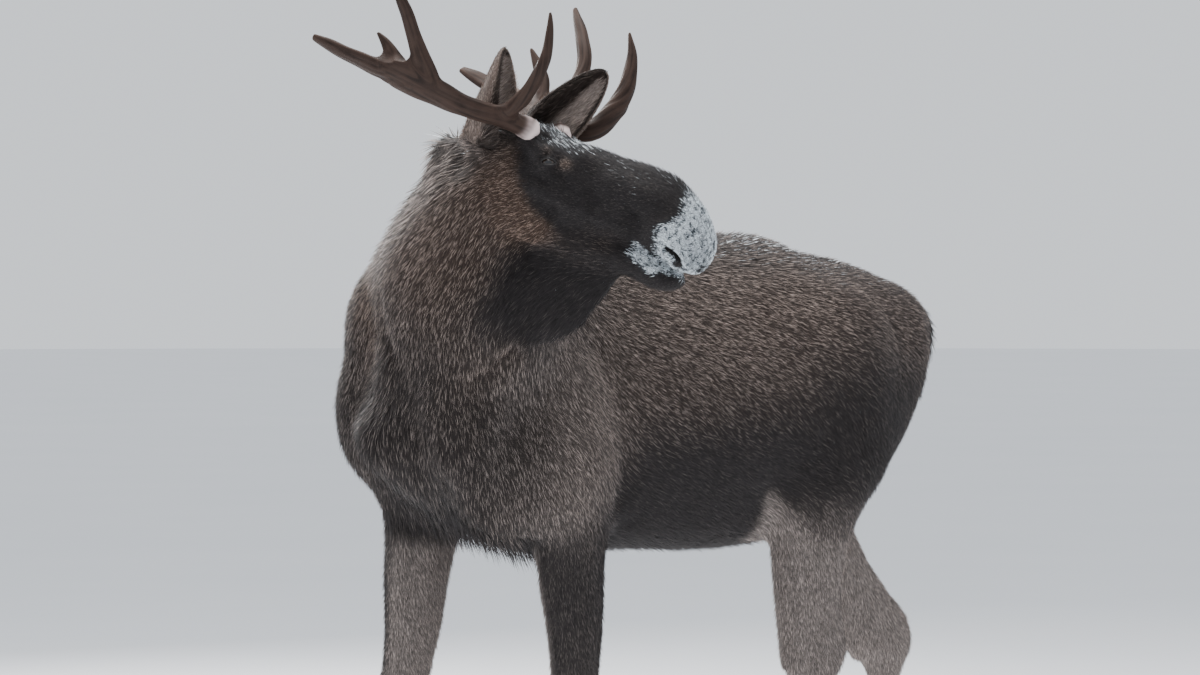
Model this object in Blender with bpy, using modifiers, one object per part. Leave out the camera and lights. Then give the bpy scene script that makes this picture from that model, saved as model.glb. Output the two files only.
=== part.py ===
"""A bull moose in its winter coat, life size, standing with its head turned back over its left side.

Metres, +Z up. The body faces -Y and its left side is towards +X. The soles stand on Z = 0, and the
origin lies under the middle of the bounding box. Flesh is fused from lofted masses and parted with thin
plane cuts; antlers, ears, eyes, hooves and tail are solids of their own.
"""

import math
from collections import namedtuple

import bmesh
import bpy
import numpy as np
from mathutils import Matrix, Vector

# ---------------------------------------------------------------- driving sizes, in metres
GAP = 0.0003                  # between two pieces that meet
WITHERS = 1.90                # top of the hump above the floor, coat included
CHEST_FLOOR = 0.93            # underside of the brisket above the floor
CHEST_FRONT = -0.87           # Y of the breast
BUTTOCK = 1.01                # Y of the rearmost point of the rump
BARREL = 0.325                # half the width of the barrel

HEAD_ORIGIN = Vector((0.300, -0.690, 1.975))   # middle of the back of the skull
HEAD_TURN = math.radians(118.0)                # from straight ahead towards the left side
HEAD_PITCH = math.radians(18.6)                # nose down
HEAD_ROLL = math.radians(4.0)                  # right side up
SKULL_CUT = 0.030                              # forward of the skull's back, where the neck ends

EYE_RADIUS = 0.0205
EYE_PLACE = (0.203, 0.093, 0.067)              # forward, to the side, up, in the head's own frame
HOOF_HEIGHT = 0.080                            # coronet above the floor

SKIN_VOXEL = 0.009            # grain at which the masses are fused
EAR_WALL = 0.007
BODY_TRIANGLES = 2100
HEAD_TRIANGLES = 830

# A ring of a loft: its middle, its half width to each side, its reach towards the back (dorsal) and
# towards the belly, the direction that counts as dorsal, and how far the dorsal side narrows to a ridge.
Ring = namedtuple("Ring", "at side dorsal ventral up ridge", defaults=((0, 0, 1), 0.0))

LEFT, RIGHT = 1, -1
SIDE_NAMES = {LEFT: "left", RIGHT: "right"}


# ---------------------------------------------------------------- lofts and balls
def smooth_rows(rows, steps):
    """Rows of numbers with steps - 1 more between each two, on a cubic through them all."""
    rows = np.array(rows, float)
    spans = np.maximum(np.linalg.norm(np.diff(rows[:, :3], axis=0), axis=1), 1e-4)
    slopes = np.gradient(rows, np.concatenate([[0.0], np.cumsum(spans)]), axis=0)
    made = [rows[0]]
    for i, span in enumerate(spans):
        for t in np.linspace(0, 1, steps + 1)[1:]:
            a, b = 2 * t**3 - 3 * t**2 + 1, t**3 - 2 * t**2 + t
            c, d = 3 * t**2 - 2 * t**3, t**3 - t**2
            made.append(a * rows[i] + b * span * slopes[i] + c * rows[i + 1] + d * span * slopes[i + 1])
    return np.array(made)


def loft(name, rings, around=24, steps=4):
    """A closed tube through the rings, square to its own path."""
    rows = [(*r.at, r.side, r.dorsal, r.ventral, *Vector(r.up).normalized(), r.ridge) for r in rings]
    rows = smooth_rows(rows, steps)
    path = rows[:, :3]
    along = np.gradient(path, axis=0)
    mesh = bmesh.new()
    hoops = []
    for row, way in zip(rows, along):
        way = Vector(way).normalized()
        up = Vector(row[6:9])
        up = (up - way * up.dot(way)).normalized()
        right = way.cross(up)
        hoop = []
        for k in range(around):
            turn = 2 * math.pi * k / around
            across, rise = math.sin(turn), math.cos(turn)
            reach = row[4] if rise > 0 else row[5]
            narrow = 1 - row[9] * max(rise, 0.0) ** 1.5
            out = right * (row[3] * across * narrow) + up * (reach * rise)
            hoop.append(mesh.verts.new(Vector(row[:3]) + out))
        hoops.append(hoop)
    for first, second in zip(hoops, hoops[1:]):
        for k in range(around):
            n = (k + 1) % around
            mesh.faces.new((first[k], first[n], second[n], second[k]))
    mesh.faces.new(hoops[0][::-1])
    mesh.faces.new(hoops[-1])
    bmesh.ops.recalc_face_normals(mesh, faces=mesh.faces)
    return object_of(name, mesh)


def ball(name, at, radii, turn=(0, 0, 0), frame=None, around=24):
    """An ellipsoid; turn is in degrees about its own X, Y and Z, and frame places and turns the whole."""
    mesh = bmesh.new()
    bmesh.ops.create_uvsphere(mesh, u_segments=around, v_segments=around * 2 // 3, radius=1.0)
    place = Matrix.Translation(at)
    for axis, angle in zip("XYZ", turn):
        place = place @ Matrix.Rotation(math.radians(angle), 4, axis)
    place = place @ Matrix.Diagonal((*radii, 1.0))
    mesh.transform((frame or Matrix()) @ place)
    bmesh.ops.recalc_face_normals(mesh, faces=mesh.faces)
    return object_of(name, mesh)


def object_of(name, mesh):
    """Links a bmesh to the scene as an object."""
    data = bpy.data.meshes.new(name)
    mesh.to_mesh(data)
    mesh.free()
    made = bpy.data.objects.new(name, data)
    bpy.context.scene.collection.objects.link(made)
    return made


def join(name, pieces):
    """One object that holds all the pieces' meshes; the pieces are removed."""
    mesh = bmesh.new()
    for piece in pieces:
        mesh.from_mesh(piece.data)
        bpy.data.objects.remove(piece)
    return object_of(name, mesh)


def settle(obj):
    """Applies an object's modifiers to its mesh."""
    graph = bpy.context.evaluated_depsgraph_get()
    data = bpy.data.meshes.new_from_object(obj.evaluated_get(graph))
    obj.modifiers.clear()
    obj.data = data
    return obj


def fuse(obj, voxel):
    """Makes one closed skin of overlapping closed shapes."""
    remesh = obj.modifiers.new("fuse", "REMESH")
    remesh.mode = "VOXEL"
    remesh.voxel_size = voxel
    remesh.use_smooth_shade = True
    return settle(obj)


# ---------------------------------------------------------------- the head's own frame
def head_frame():
    """Columns: forward along the head, to its left side, up; placed at the back of the skull."""
    turn = Matrix.Rotation(HEAD_TURN, 4, "Z")
    pitch = Matrix.Rotation(HEAD_PITCH, 4, "X")
    roll = Matrix.Rotation(HEAD_ROLL, 4, "Y")
    # Straight ahead is -Y and left is +X, so forward, left, up are -Y, +X, +Z before any turn.
    ahead = Matrix(((0, 1, 0, 0), (-1, 0, 0, 0), (0, 0, 1, 0), (0, 0, 0, 1)))
    return Matrix.Translation(HEAD_ORIGIN) @ turn @ pitch @ roll @ ahead


HEAD = head_frame()


def on_head(forward, left, up):
    return HEAD @ Vector((forward, left, up))


def head_way(forward, left, up):
    return (HEAD.to_3x3() @ Vector((forward, left, up))).normalized()


# ---------------------------------------------------------------- trunk and neck
def trunk():
    """The barrel from breast to buttock: Y, top, floor, half width and ridge of each ring."""
    stations = (
        (CHEST_FRONT, 1.43, 1.29, 0.05, 0.0),
        (-0.825, 1.50, 1.17, 0.12, 0.0),
        (-0.75, 1.60, 1.08, 0.175, 0.05),
        (-0.64, 1.73, 0.995, 0.225, 0.20),
        (-0.50, 1.85, CHEST_FLOOR + 0.015, 0.270, 0.40),
        (-0.36, WITHERS, CHEST_FLOOR, 0.290, 0.52),
        (-0.20, WITHERS - 0.012, CHEST_FLOOR, 0.310, 0.48),
        (0.00, 1.835, CHEST_FLOOR, BARREL, 0.38),
        (0.20, 1.81, CHEST_FLOOR - 0.008, BARREL + 0.005, 0.30),
        (0.40, 1.815, CHEST_FLOOR + 0.010, BARREL, 0.24),
        (0.60, 1.805, 1.015, 0.295, 0.22),
        (0.78, 1.768, 1.18, 0.225, 0.18),
        (0.88, 1.720, 1.29, 0.175, 0.10),
        (0.96, 1.655, 1.39, 0.120, 0.05),
        (BUTTOCK, 1.56, 1.46, 0.050, 0.0),
    )
    rings = []
    for y, top, floor, side, ridge in stations:
        middle = floor + 0.45 * (top - floor)
        rings.append(Ring((0, y, middle), side, top - middle, middle - floor, (0, 0, 1), ridge))
    return loft("trunk_mass", rings, around=32)


def neck():
    """From inside the shoulders up, forwards and round to the left, into the back of the skull."""
    return loft("neck_mass", [
        Ring((0.00, -0.34, 1.42), 0.25, 0.34, 0.34, (-0.1, 0.55, 0.8)),
        Ring((0.04, -0.52, 1.55), 0.275, 0.32, 0.33, (-0.3, 0.40, 0.8)),
        Ring((0.15, -0.650, 1.70), 0.255, 0.295, 0.31, (-0.6, 0.05, 0.6), 0.15),
        Ring((0.250, -0.680, 1.86), 0.180, 0.215, 0.235, (-0.8, -0.3, 0.5), 0.3),
        Ring((0.32, -0.680, 1.97), 0.130, 0.175, 0.165, (-0.8, -0.4, 0.5), 0.3),
    ])


def girdles(side):
    """Shoulder blade, point of the shoulder, triceps, haunch and buttock of one side."""
    name = SIDE_NAMES[side]
    return [
        ball(f"blade_{name}", (side * 0.180, -0.45, 1.42), (0.100, 0.20, 0.40), (14, side * -14, 0)),
        ball(f"point_{name}", (side * 0.200, -0.71, 1.31), (0.110, 0.135, 0.21), (8, side * -6, 0)),
        ball(f"collar_{name}", (side * 0.170, -0.660, 1.50), (0.138, 0.162, 0.25), (18, side * -8, 0)),
        ball(f"triceps_{name}", (side * 0.225, -0.45, 1.19), (0.112, 0.19, 0.20), (-14, 0, 0)),
        ball(f"haunch_{name}", (side * 0.165, 0.545, 1.40), (0.150, 0.235, 0.29), (-10, side * -6, 0)),
    ]


# ---------------------------------------------------------------- legs
# Each row: the joint it starts from and how far towards the next (0 to 1), forward offset, half width
# to the sides, reach to the front, reach to the rear.
FORE_FLESH = (
    ("elbow", -0.45, 0.00, 0.105, 0.15, 0.16),
    ("elbow", 0.00, 0.00, 0.088, 0.125, 0.125),
    ("elbow", 0.25, 0.00, 0.070, 0.108, 0.105),
    ("elbow", 0.55, -0.005, 0.058, 0.088, 0.095),
    ("elbow", 0.82, -0.005, 0.053, 0.074, 0.080),
    ("knee", 0.00, -0.004, 0.054, 0.070, 0.068),
    ("knee", 0.15, 0.00, 0.048, 0.054, 0.056),
    ("knee", 0.35, 0.00, 0.036, 0.040, 0.046),
    ("knee", 0.75, 0.00, 0.034, 0.038, 0.046),
    ("fetlock", 0.00, 0.00, 0.043, 0.044, 0.056),
    ("fetlock", 0.55, 0.00, 0.041, 0.044, 0.046),
    ("fetlock", 1.15, 0.00, 0.050, 0.054, 0.050),
)
HIND_FLESH = (
    ("hip", 0.00, 0.04, 0.11, 0.17, 0.16),
    ("hip", 0.45, -0.01, 0.130, 0.21, 0.20),
    ("stifle", -0.05, -0.06, 0.115, 0.20, 0.19),
    ("stifle", 0.25, -0.025, 0.088, 0.150, 0.135),
    ("stifle", 0.55, 0.00, 0.068, 0.120, 0.112),
    ("stifle", 0.82, 0.01, 0.058, 0.106, 0.124),
    ("hock", 0.00, 0.005, 0.056, 0.104, 0.116),
    ("hock", 0.16, 0.00, 0.048, 0.058, 0.062),
    ("hock", 0.36, 0.00, 0.037, 0.043, 0.050),
    ("hock", 0.78, 0.00, 0.035, 0.040, 0.048),
    ("fetlock", 0.00, 0.00, 0.044, 0.046, 0.058),
    ("fetlock", 0.55, 0.00, 0.042, 0.045, 0.048),
    ("fetlock", 1.15, 0.00, 0.050, 0.054, 0.050),
)
FORE_JOINTS, HIND_JOINTS = ("elbow", "knee", "fetlock", "hoof"), ("hip", "stifle", "hock", "fetlock", "hoof")


def fore_joints(side, forearm_y, knee_y, hoof_y):
    """Joint places of a foreleg."""
    return {
        "elbow": Vector((side * 0.185, forearm_y, 1.02)),
        "knee": Vector((side * 0.175, knee_y, 0.555)),
        "fetlock": Vector((side * 0.172, hoof_y + 0.045, 0.185)),
        "hoof": Vector((side * 0.172, hoof_y, HOOF_HEIGHT)),
    }


def hind_joints(side, stifle_y, hock_y, hock_z, hoof_y):
    """Joint places of a hind leg."""
    return {
        "hip": Vector((side * 0.155, 0.67, 1.44)),
        "stifle": Vector((side * 0.205, stifle_y, 1.10)),
        "hock": Vector((side * 0.172, hock_y, hock_z)),
        "fetlock": Vector((side * 0.165, hoof_y + 0.05, 0.195)),
        "hoof": Vector((side * 0.165, hoof_y, HOOF_HEIGHT)),
    }


LEGS = {
    "front_left": (LEFT, FORE_JOINTS, FORE_FLESH, fore_joints(LEFT, -0.350, -0.335, -0.355)),
    "front_right": (RIGHT, FORE_JOINTS, FORE_FLESH, fore_joints(RIGHT, -0.575, -0.655, -0.690)),
    "hind_left": (LEFT, HIND_JOINTS, HIND_FLESH, hind_joints(LEFT, 0.42, 0.49, 0.610, 0.43)),
    "hind_right": (RIGHT, HIND_JOINTS, HIND_FLESH, hind_joints(RIGHT, 0.66, 1.02, 0.600, 0.97)),
}


def leg(name):
    """The flesh of one leg, from inside the trunk to the coronet."""
    _, order, flesh, joints = LEGS[name]
    rings = []
    for start, share, forward, side, front, rear in flesh:
        here = joints[start]
        there = joints[order[order.index(start) + 1]]
        at = here.lerp(there, share) + Vector((0, -forward, 0))
        rings.append(Ring(at, side, front, rear, (0, -1, 0.05)))
    return loft(f"{name}_mass", rings)


# ---------------------------------------------------------------- head
def face():
    """Brain case to nose: forward, top, floor, half width, ridge."""
    stations = (
        (-0.045, 0.080, -0.050, 0.055, 0.0),
        (-0.010, 0.130, -0.085, 0.088, 0.0),
        (0.060, 0.156, -0.105, 0.105, 0.1),
        (0.160, 0.152, -0.110, 0.112, 0.2),
        (0.260, 0.148, -0.105, 0.102, 0.2),
        (0.360, 0.148, -0.085, 0.083, 0.2),
        (0.450, 0.153, -0.066, 0.077, 0.15),
        (0.520, 0.146, -0.070, 0.079, 0.1),
        (0.575, 0.120, -0.074, 0.080, 0.0),
        (0.620, 0.085, -0.076, 0.072, 0.0),
        (0.650, 0.040, -0.068, 0.055, 0.0),
        (0.666, 0.000, -0.050, 0.032, 0.0),
    )
    rings = []
    for forward, top, floor, side, ridge in stations:
        middle = 0.012
        at = on_head(forward, 0, middle)
        rings.append(Ring(at, side, top - middle, middle - floor, head_way(0, 0, 1), ridge))
    return loft("face_mass", rings, around=28)


def lower_jaw():
    """Angle of the jaw to chin: forward, top, floor, half width."""
    stations = (
        (0.070, -0.010, -0.120, 0.060),
        (0.140, -0.010, -0.150, 0.078),
        (0.240, -0.030, -0.158, 0.074),
        (0.340, -0.050, -0.156, 0.060),
        (0.430, -0.060, -0.144, 0.050),
        (0.500, -0.062, -0.138, 0.050),
        (0.545, -0.070, -0.137, 0.051),
        (0.585, -0.080, -0.124, 0.044),
        (0.612, -0.090, -0.110, 0.022),
    )
    rings = []
    for forward, top, floor, side in stations:
        middle = (top + floor) / 2
        rings.append(Ring(on_head(forward, 0, middle), side, top - middle, middle - floor, head_way(0, 0, 1)))
    return loft("jaw_mass", rings)


def head_masses():
    """Everything fused into the head, ears and antlers apart."""
    made = [face(), lower_jaw(), ball("nose_mass", (0.590, 0, 0.000), (0.078, 0.080, 0.080), (0, 25, 0), HEAD)]
    for side in (LEFT, RIGHT):
        name = SIDE_NAMES[side]
        made += [
            ball(f"cheek_{name}", (0.165, side * 0.062, -0.055), (0.115, 0.050, 0.085), (0, 12, 0), HEAD),
            ball(f"brow_{name}", (0.165, side * 0.082, 0.092), (0.062, 0.034, 0.030), (0, 8, 0), HEAD),
            ball(f"wing_{name}", (0.606, side * 0.050, -0.028), (0.050, 0.034, 0.044), (0, 35, 0), HEAD),
            ball(f"ear_root_{name}", (-0.020, side * 0.085, 0.068), (0.050, 0.042, 0.055), (0, 0, 0), HEAD),
            loft(f"pedicle_{name}", [
                Ring(on_head(0.125, side * 0.045, 0.105), 0.042, 0.040, 0.040, head_way(0, 0, 1)),
                Ring(on_head(0.118, side * 0.080, 0.126), 0.036, 0.034, 0.034, head_way(0, 0, 1)),
                Ring(on_head(0.114, side * 0.099, 0.134), 0.033, 0.032, 0.032, head_way(0, 0, 1)),
            ]),
        ]
    return made


# Forward, floor and half width of the fold of skin behind the jaw, in the head's frame.
FOLD = ((0.440, -0.148, 0.020), (0.400, -0.228, 0.028), (0.355, -0.296, 0.034), (0.325, -0.344, 0.038),
        (0.290, -0.378, 0.042), (0.240, -0.394, 0.045), (0.190, -0.392, 0.045), (0.150, -0.345, 0.040))
FOLD_TOP = -0.110
BELL_TRIANGLES = 140


def bell():
    """The dewlap: a deep fold of skin behind the jaw, and the bell that hangs from it."""
    hanging = loft("bell", [
        Ring((0.400, -0.610, 1.78), 0.036, 0.10, 0.07, (0.8, 0.45, 0.2)),
        Ring((0.425, -0.630, 1.68), 0.034, 0.09, 0.07, (0.8, 0.45, 0.1)),
        Ring((0.432, -0.655, 1.59), 0.027, 0.062, 0.055, (0.8, 0.45, 0.1)),
        Ring((0.430, -0.675, 1.50), 0.010, 0.020, 0.020, (0.8, 0.45, 0.1)),
    ], around=12, steps=2)
    rings = []
    for forward, floor, side in FOLD:
        half = (FOLD_TOP - floor) / 2
        rings.append(Ring(on_head(forward, 0, FOLD_TOP - half), side, half, half, head_way(0, 0, 1)))
    whole_bell = fuse(join("bell", [hanging, loft("fold", rings, around=16)]), 0.009)
    return thin(whole_bell, BELL_TRIANGLES)


# ---------------------------------------------------------------- antlers
# Forward, to the side, up, half thickness, reach up and reach down in the plane of the antler.
BEAM = ((0.114, 0.098, 0.134, 0.030, 0.031, 0.031), (0.100, 0.120, 0.138, 0.0265, 0.027, 0.027),
        (0.065, 0.170, 0.143, 0.025, 0.029, 0.029), (0.005, 0.250, 0.141, 0.021, 0.034, 0.032),
        (-0.063, 0.320, 0.155, 0.017, 0.046, 0.044), (-0.128, 0.373, 0.167, 0.014, 0.052, 0.050),
        (-0.165, 0.392, 0.172, 0.011, 0.040, 0.044))
REAR_TINE = ((-0.110, 0.362, 0.162, 0.012, 0.030, 0.032), (-0.205, 0.397, 0.169, 0.014, 0.024, 0.025),
             (-0.276, 0.410, 0.175, 0.013, 0.021, 0.022), (-0.341, 0.420, 0.182, 0.011, 0.017, 0.017),
             (-0.388, 0.426, 0.188, 0.005, 0.007, 0.007))
TINES = {
    RIGHT: {
        "brow_tine": ((0.060, 0.168, 0.143, 0.018, 0.020, 0.020), (0.109, 0.187, 0.192, 0.021, 0.022, 0.022),
                      (0.143, 0.207, 0.250, 0.018, 0.020, 0.020), (0.164, 0.230, 0.332, 0.014, 0.016, 0.016),
                      (0.159, 0.240, 0.390, 0.010, 0.012, 0.012), (0.144, 0.246, 0.441, 0.004, 0.005, 0.005)),
        "top_tine": ((-0.062, 0.330, 0.166, 0.012, 0.026, 0.026), (-0.083, 0.372, 0.213, 0.016, 0.026, 0.026),
                     (-0.106, 0.410, 0.261, 0.015, 0.021, 0.021), (-0.124, 0.450, 0.312, 0.013, 0.018, 0.018),
                     (-0.146, 0.485, 0.356, 0.011, 0.015, 0.015), (-0.166, 0.512, 0.396, 0.005, 0.006, 0.006)),
        "middle_tine": ((-0.128, 0.370, 0.172, 0.010, 0.022, 0.022), (-0.161, 0.378, 0.204, 0.011, 0.015, 0.015),
                        (-0.205, 0.386, 0.237, 0.009, 0.011, 0.011), (-0.231, 0.391, 0.248, 0.004, 0.005, 0.005)),
    },
    LEFT: {
        "brow_tine": ((0.075, 0.172, 0.143, 0.018, 0.020, 0.020), (0.145, 0.195, 0.160, 0.022, 0.023, 0.023),
                      (0.180, 0.224, 0.232, 0.019, 0.021, 0.021), (0.186, 0.244, 0.306, 0.015, 0.017, 0.017),
                      (0.162, 0.258, 0.392, 0.010, 0.012, 0.012), (0.136, 0.260, 0.440, 0.004, 0.005, 0.005)),
        "top_tine": ((-0.045, 0.318, 0.160, 0.012, 0.026, 0.026), (-0.020, 0.362, 0.225, 0.016, 0.027, 0.027),
                     (-0.020, 0.392, 0.300, 0.015, 0.021, 0.021), (-0.062, 0.425, 0.365, 0.013, 0.017, 0.017),
                     (-0.104, 0.455, 0.405, 0.010, 0.014, 0.014), (-0.145, 0.482, 0.443, 0.005, 0.006, 0.006)),
        "middle_tine": ((-0.085, 0.348, 0.172, 0.011, 0.022, 0.022), (-0.115, 0.374, 0.236, 0.011, 0.015, 0.015),
                        (-0.160, 0.385, 0.278, 0.009, 0.011, 0.011), (-0.188, 0.390, 0.303, 0.004, 0.005, 0.005)),
    },
}


# Root, bend and tip of each ear and the way it opens (forward, to the side, up, in the head's own frame),
# and half its breadth.
EARS = {
    RIGHT: ((-0.030, 0.098, 0.060), (0.008, 0.130, 0.195), (0.008, 0.160, 0.318), (1.0, -0.08, 0.0), 0.076),
    LEFT: ((0.045, 0.085, 0.085), (0.105, 0.120, 0.205), (0.166, 0.150, 0.335), (0.60, -0.75, 0.0), 0.064),
}
EAR_NECK = 0.026              # half width of an ear where it leaves the skull


def antler_limb(name, rows, side, flat):
    """One limb of an antler; flat is the direction across its thickness, in the head's frame."""
    path = [Vector((f, side * l, u)) for f, l, u, *_ in rows]
    across = Vector((flat[0], side * flat[1], flat[2])).normalized()
    rings = []
    for i, (*_, half, over, under) in enumerate(rows):
        way = path[min(i + 1, len(path) - 1)] - path[max(i - 1, 0)]
        up = way.cross(across).normalized()
        if up.z < 0 or (abs(up.z) < 0.3 and up.x < 0):
            up = -up
        rings.append(Ring(on_head(*path[i]), half, over, under, head_way(*up)))
    return loft(name, rings, around=8, steps=2)


def ear(name, side, root, bend, tip, opening, breadth, along=8, around=6):
    """A cupped, round-tipped shell on a curve from root to tip, open towards the given direction."""
    root, bend, tip = (on_head(f, side * l, u) for f, l, u in (root, bend, tip))
    way = (tip - root).normalized()
    front = head_way(opening[0], side * opening[1], opening[2])
    front = (front - way * front.dot(way)).normalized()
    across = way.cross(front)
    mesh = bmesh.new()
    rows = []
    for t in np.sin(np.linspace(0, math.pi / 2, along + 1)).tolist():
        sweep = math.radians(np.interp(t, (0, 0.35, 1), (150, 70, 45)))
        leaf = max(math.sin(math.pi * t**0.78), 0.0) ** 0.55
        width = max(0.004, EAR_NECK * (1 - t) ** 1.5 + (breadth - 0.3 * EAR_NECK) * leaf)
        radius = width / math.sin(min(sweep, math.pi / 2))
        centre = root * (1 - t) ** 2 + bend * (2 * t * (1 - t)) + tip * t**2 + front * radius * 0.65
        rows.append([])
        for k in range(around + 1):
            turn = sweep * (2 * k / around - 1)
            rows[-1].append(mesh.verts.new(centre + radius * (across * math.sin(turn) - front * math.cos(turn))))
    for a, b in zip(rows, rows[1:]):
        for k in range(around):
            mesh.faces.new((a[k], a[k + 1], b[k + 1], b[k]))
    made = object_of(name, mesh)
    wall = made.modifiers.new("wall", "SOLIDIFY")
    wall.thickness = EAR_WALL
    wall.offset = 0
    return settle(made)


def tail():
    """A short tail that hangs against the rump."""
    return loft("tail", [
        Ring((0, 0.950, 1.600), 0.034, 0.030, 0.034, (0, 0.5, 0.8)),
        Ring((0, 1.000, 1.572), 0.040, 0.030, 0.040, (0, 0.7, 0.7)),
        Ring((0, 1.022, 1.520), 0.042, 0.030, 0.040, (0, 0.95, 0.3)),
        Ring((0, 1.026, 1.460), 0.032, 0.022, 0.030, (0, 1, 0)),
        Ring((0, 1.018, 1.415), 0.010, 0.009, 0.010, (0, 1, 0)),
    ], around=10, steps=2)


# Outline of one claw on the ground, from heel to toe: forward, half width to the outer side and to the
# cleft, each as a share of the claw's width; then the same again at the coronet.
CLAW = ((-0.50, 0.00, 0.00), (-0.46, 0.55, 0.35), (-0.25, 0.92, 0.42), (0.00, 1.00, 0.42), (0.25, 0.80, 0.40),
        (0.42, 0.45, 0.34), (0.50, 0.10, 0.18))


def claw(name, foot, out, length=0.150, width=0.052):
    """Half of a cloven hoof, flat on the ground; out is +1 or -1 for the side of the foot it stands on."""
    mesh = bmesh.new()
    hoops = []
    for level, shrink, back in ((0.0, 1.0, 0.0), (0.015, 0.99, 0.002), (HOOF_HEIGHT - GAP, 0.66, 0.032)):
        hoop = []
        for flank in (1, -1):
            for share, outer, inner in CLAW if flank == 1 else CLAW[-2:0:-1]:
                forward = share * length * shrink - back
                across = 0.003 + width * 0.42 + flank * width * (0.58 * outer if flank == 1 else inner) * shrink ** 0.5
                hoop.append(mesh.verts.new((foot.x + out * across, foot.y - 0.020 - forward, level)))
        hoops.append(hoop)
    count = len(hoops[0])
    for first, second in zip(hoops, hoops[1:]):
        for k in range(count):
            n = (k + 1) % count
            mesh.faces.new((first[k], first[n], second[n], second[k]))
    mesh.faces.new(hoops[0][::-1])
    mesh.faces.new(hoops[-1])
    bmesh.ops.recalc_face_normals(mesh, faces=mesh.faces)
    return object_of(name, mesh)


def dewclaw(name, foot, out):
    """One of the two small claws behind the pastern."""
    return loft(name, [
        Ring((foot.x + out * 0.018, foot.y + 0.040, 0.142), 0.014, 0.018, 0.018, (0, 1, 0)),
        Ring((foot.x + out * 0.024, foot.y + 0.066, 0.118), 0.014, 0.015, 0.017, (0, 1, 0)),
        Ring((foot.x + out * 0.027, foot.y + 0.076, 0.088), 0.006, 0.006, 0.008, (0, 1, 0)),
    ], around=5, steps=1)


# ---------------------------------------------------------------- shaping the fused flesh
def relax(obj, rounds, weight):
    """Evens the skin out: each point moves towards the mean of its neighbours by its own weight."""
    mesh = obj.data
    points = np.empty(len(mesh.vertices) * 3)
    mesh.vertices.foreach_get("co", points)
    points = points.reshape(-1, 3)
    ends = np.empty(len(mesh.edges) * 2, np.int32)
    mesh.edges.foreach_get("vertices", ends)
    a, b = ends.reshape(-1, 2).T
    share = weight(points)[:, None]
    degree = np.bincount(ends, minlength=len(points))[:, None]
    for _ in range(rounds):
        total = np.zeros_like(points)
        for axis in range(3):
            total[:, axis] = (np.bincount(a, points[b, axis], len(points))
                              + np.bincount(b, points[a, axis], len(points)))
        points += 0.6 * share * (total / degree - points)
    mesh.vertices.foreach_set("co", points.ravel())
    mesh.update()


def softness(points):
    """How far each part of the skin is evened out: much on the trunk and neck, little on face and legs."""
    def ramp(x, low, high):
        return np.clip((x - low) / (high - low), 0, 1)

    rear = np.array(on_head(0.10, 0, 0))
    ahead = (points - rear) @ np.array(head_way(1, 0, 1))
    near = np.linalg.norm(points - np.array(on_head(0.25, 0, 0)), axis=1)
    head = ramp(ahead, -0.20, -0.02) * ramp(-near, -0.55, -0.45)
    legs = ramp(-points[:, 2], -1.02, -0.88)
    return 1 - np.maximum(0.93 * head, 0.90 * legs)


def thin(obj, triangles):
    """Decimates to a number of triangles."""
    obj.data.calc_loop_triangles()
    fewer = obj.modifiers.new("fewer", "DECIMATE")
    fewer.ratio = min(1.0, triangles / len(obj.data.loop_triangles))
    return settle(obj)


# ---------------------------------------------------------------- parting the flesh into nodes
def slab(name, corners):
    """A convex block from its eight or more corners."""
    mesh = bmesh.new()
    for corner in corners:
        mesh.verts.new(corner)
    bmesh.ops.convex_hull(mesh, input=mesh.verts)
    bmesh.ops.recalc_face_normals(mesh, faces=mesh.faces)
    return object_of(name, mesh)


def block(name, low, high, frame=None, grow=0.0):
    """A box between two corners, in a frame of its own if one is given, grown on every side."""
    low, high = Vector(low) - Vector((grow,) * 3), Vector(high) + Vector((grow,) * 3)
    frame = frame or Matrix()
    return slab(name, [frame @ Vector((x, y, z)) for x in (low.x, high.x) for y in (low.y, high.y)
                       for z in (low.z, high.z)])


def combine(obj, other, operation):
    """Boolean of two objects, left in the first."""
    cut = obj.modifiers.new("cut", "BOOLEAN")
    cut.operation = operation
    cut.solver = "EXACT"
    cut.object = other
    return settle(obj)


def twin(obj, name):
    made = bpy.data.objects.new(name, obj.data.copy())
    bpy.context.scene.collection.objects.link(made)
    return made


def part_off(flesh, name, low, high, frame=None):
    """Cuts the region in a box off the flesh as an object of its own, a gap apart."""
    piece = twin(flesh, name)
    inner, outer = block("inner", low, high, frame), block("outer", low, high, frame, GAP)
    combine(piece, inner, "INTERSECT")
    combine(flesh, outer, "DIFFERENCE")
    bpy.data.objects.remove(inner)
    bpy.data.objects.remove(outer)
    return whole(piece)


def whole(obj):
    """Keeps the largest closed body of the mesh, welds slivers and drops what a cut left loose."""
    mesh = bmesh.new()
    mesh.from_mesh(obj.data)
    bmesh.ops.remove_doubles(mesh, verts=mesh.verts, dist=0.00005)
    left, bodies = set(mesh.verts), []
    while left:
        seed = left.pop()
        body, edge = {seed}, [seed]
        while edge:
            for link in edge.pop().link_edges:
                for vert in link.verts:
                    if vert not in body:
                        body.add(vert)
                        edge.append(vert)
        left -= body
        bodies.append(body)
    bodies.sort(key=len)
    for body in bodies[:-1]:
        bmesh.ops.delete(mesh, geom=list(body), context="VERTS")
    bmesh.ops.triangulate(mesh, faces=mesh.faces)
    mesh.to_mesh(obj.data)
    mesh.free()
    return obj


def seat(piece, host):
    """Trims a piece to stop a gap short of its host's surface."""
    swollen = twin(host, "swollen")
    swell = swollen.modifiers.new("swell", "DISPLACE")
    swell.strength = GAP * 1.4
    swell.mid_level = 0.0
    settle(swollen)
    combine(piece, swollen, "DIFFERENCE")
    bpy.data.objects.remove(swollen)
    return whole(piece)


# ---------------------------------------------------------------- the whole animal
def aim(at, way):
    """A frame at a point with its Z along a direction."""
    return Matrix.Translation(at) @ Vector(way).to_track_quat("Z", "Y").to_matrix().to_4x4()


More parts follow.
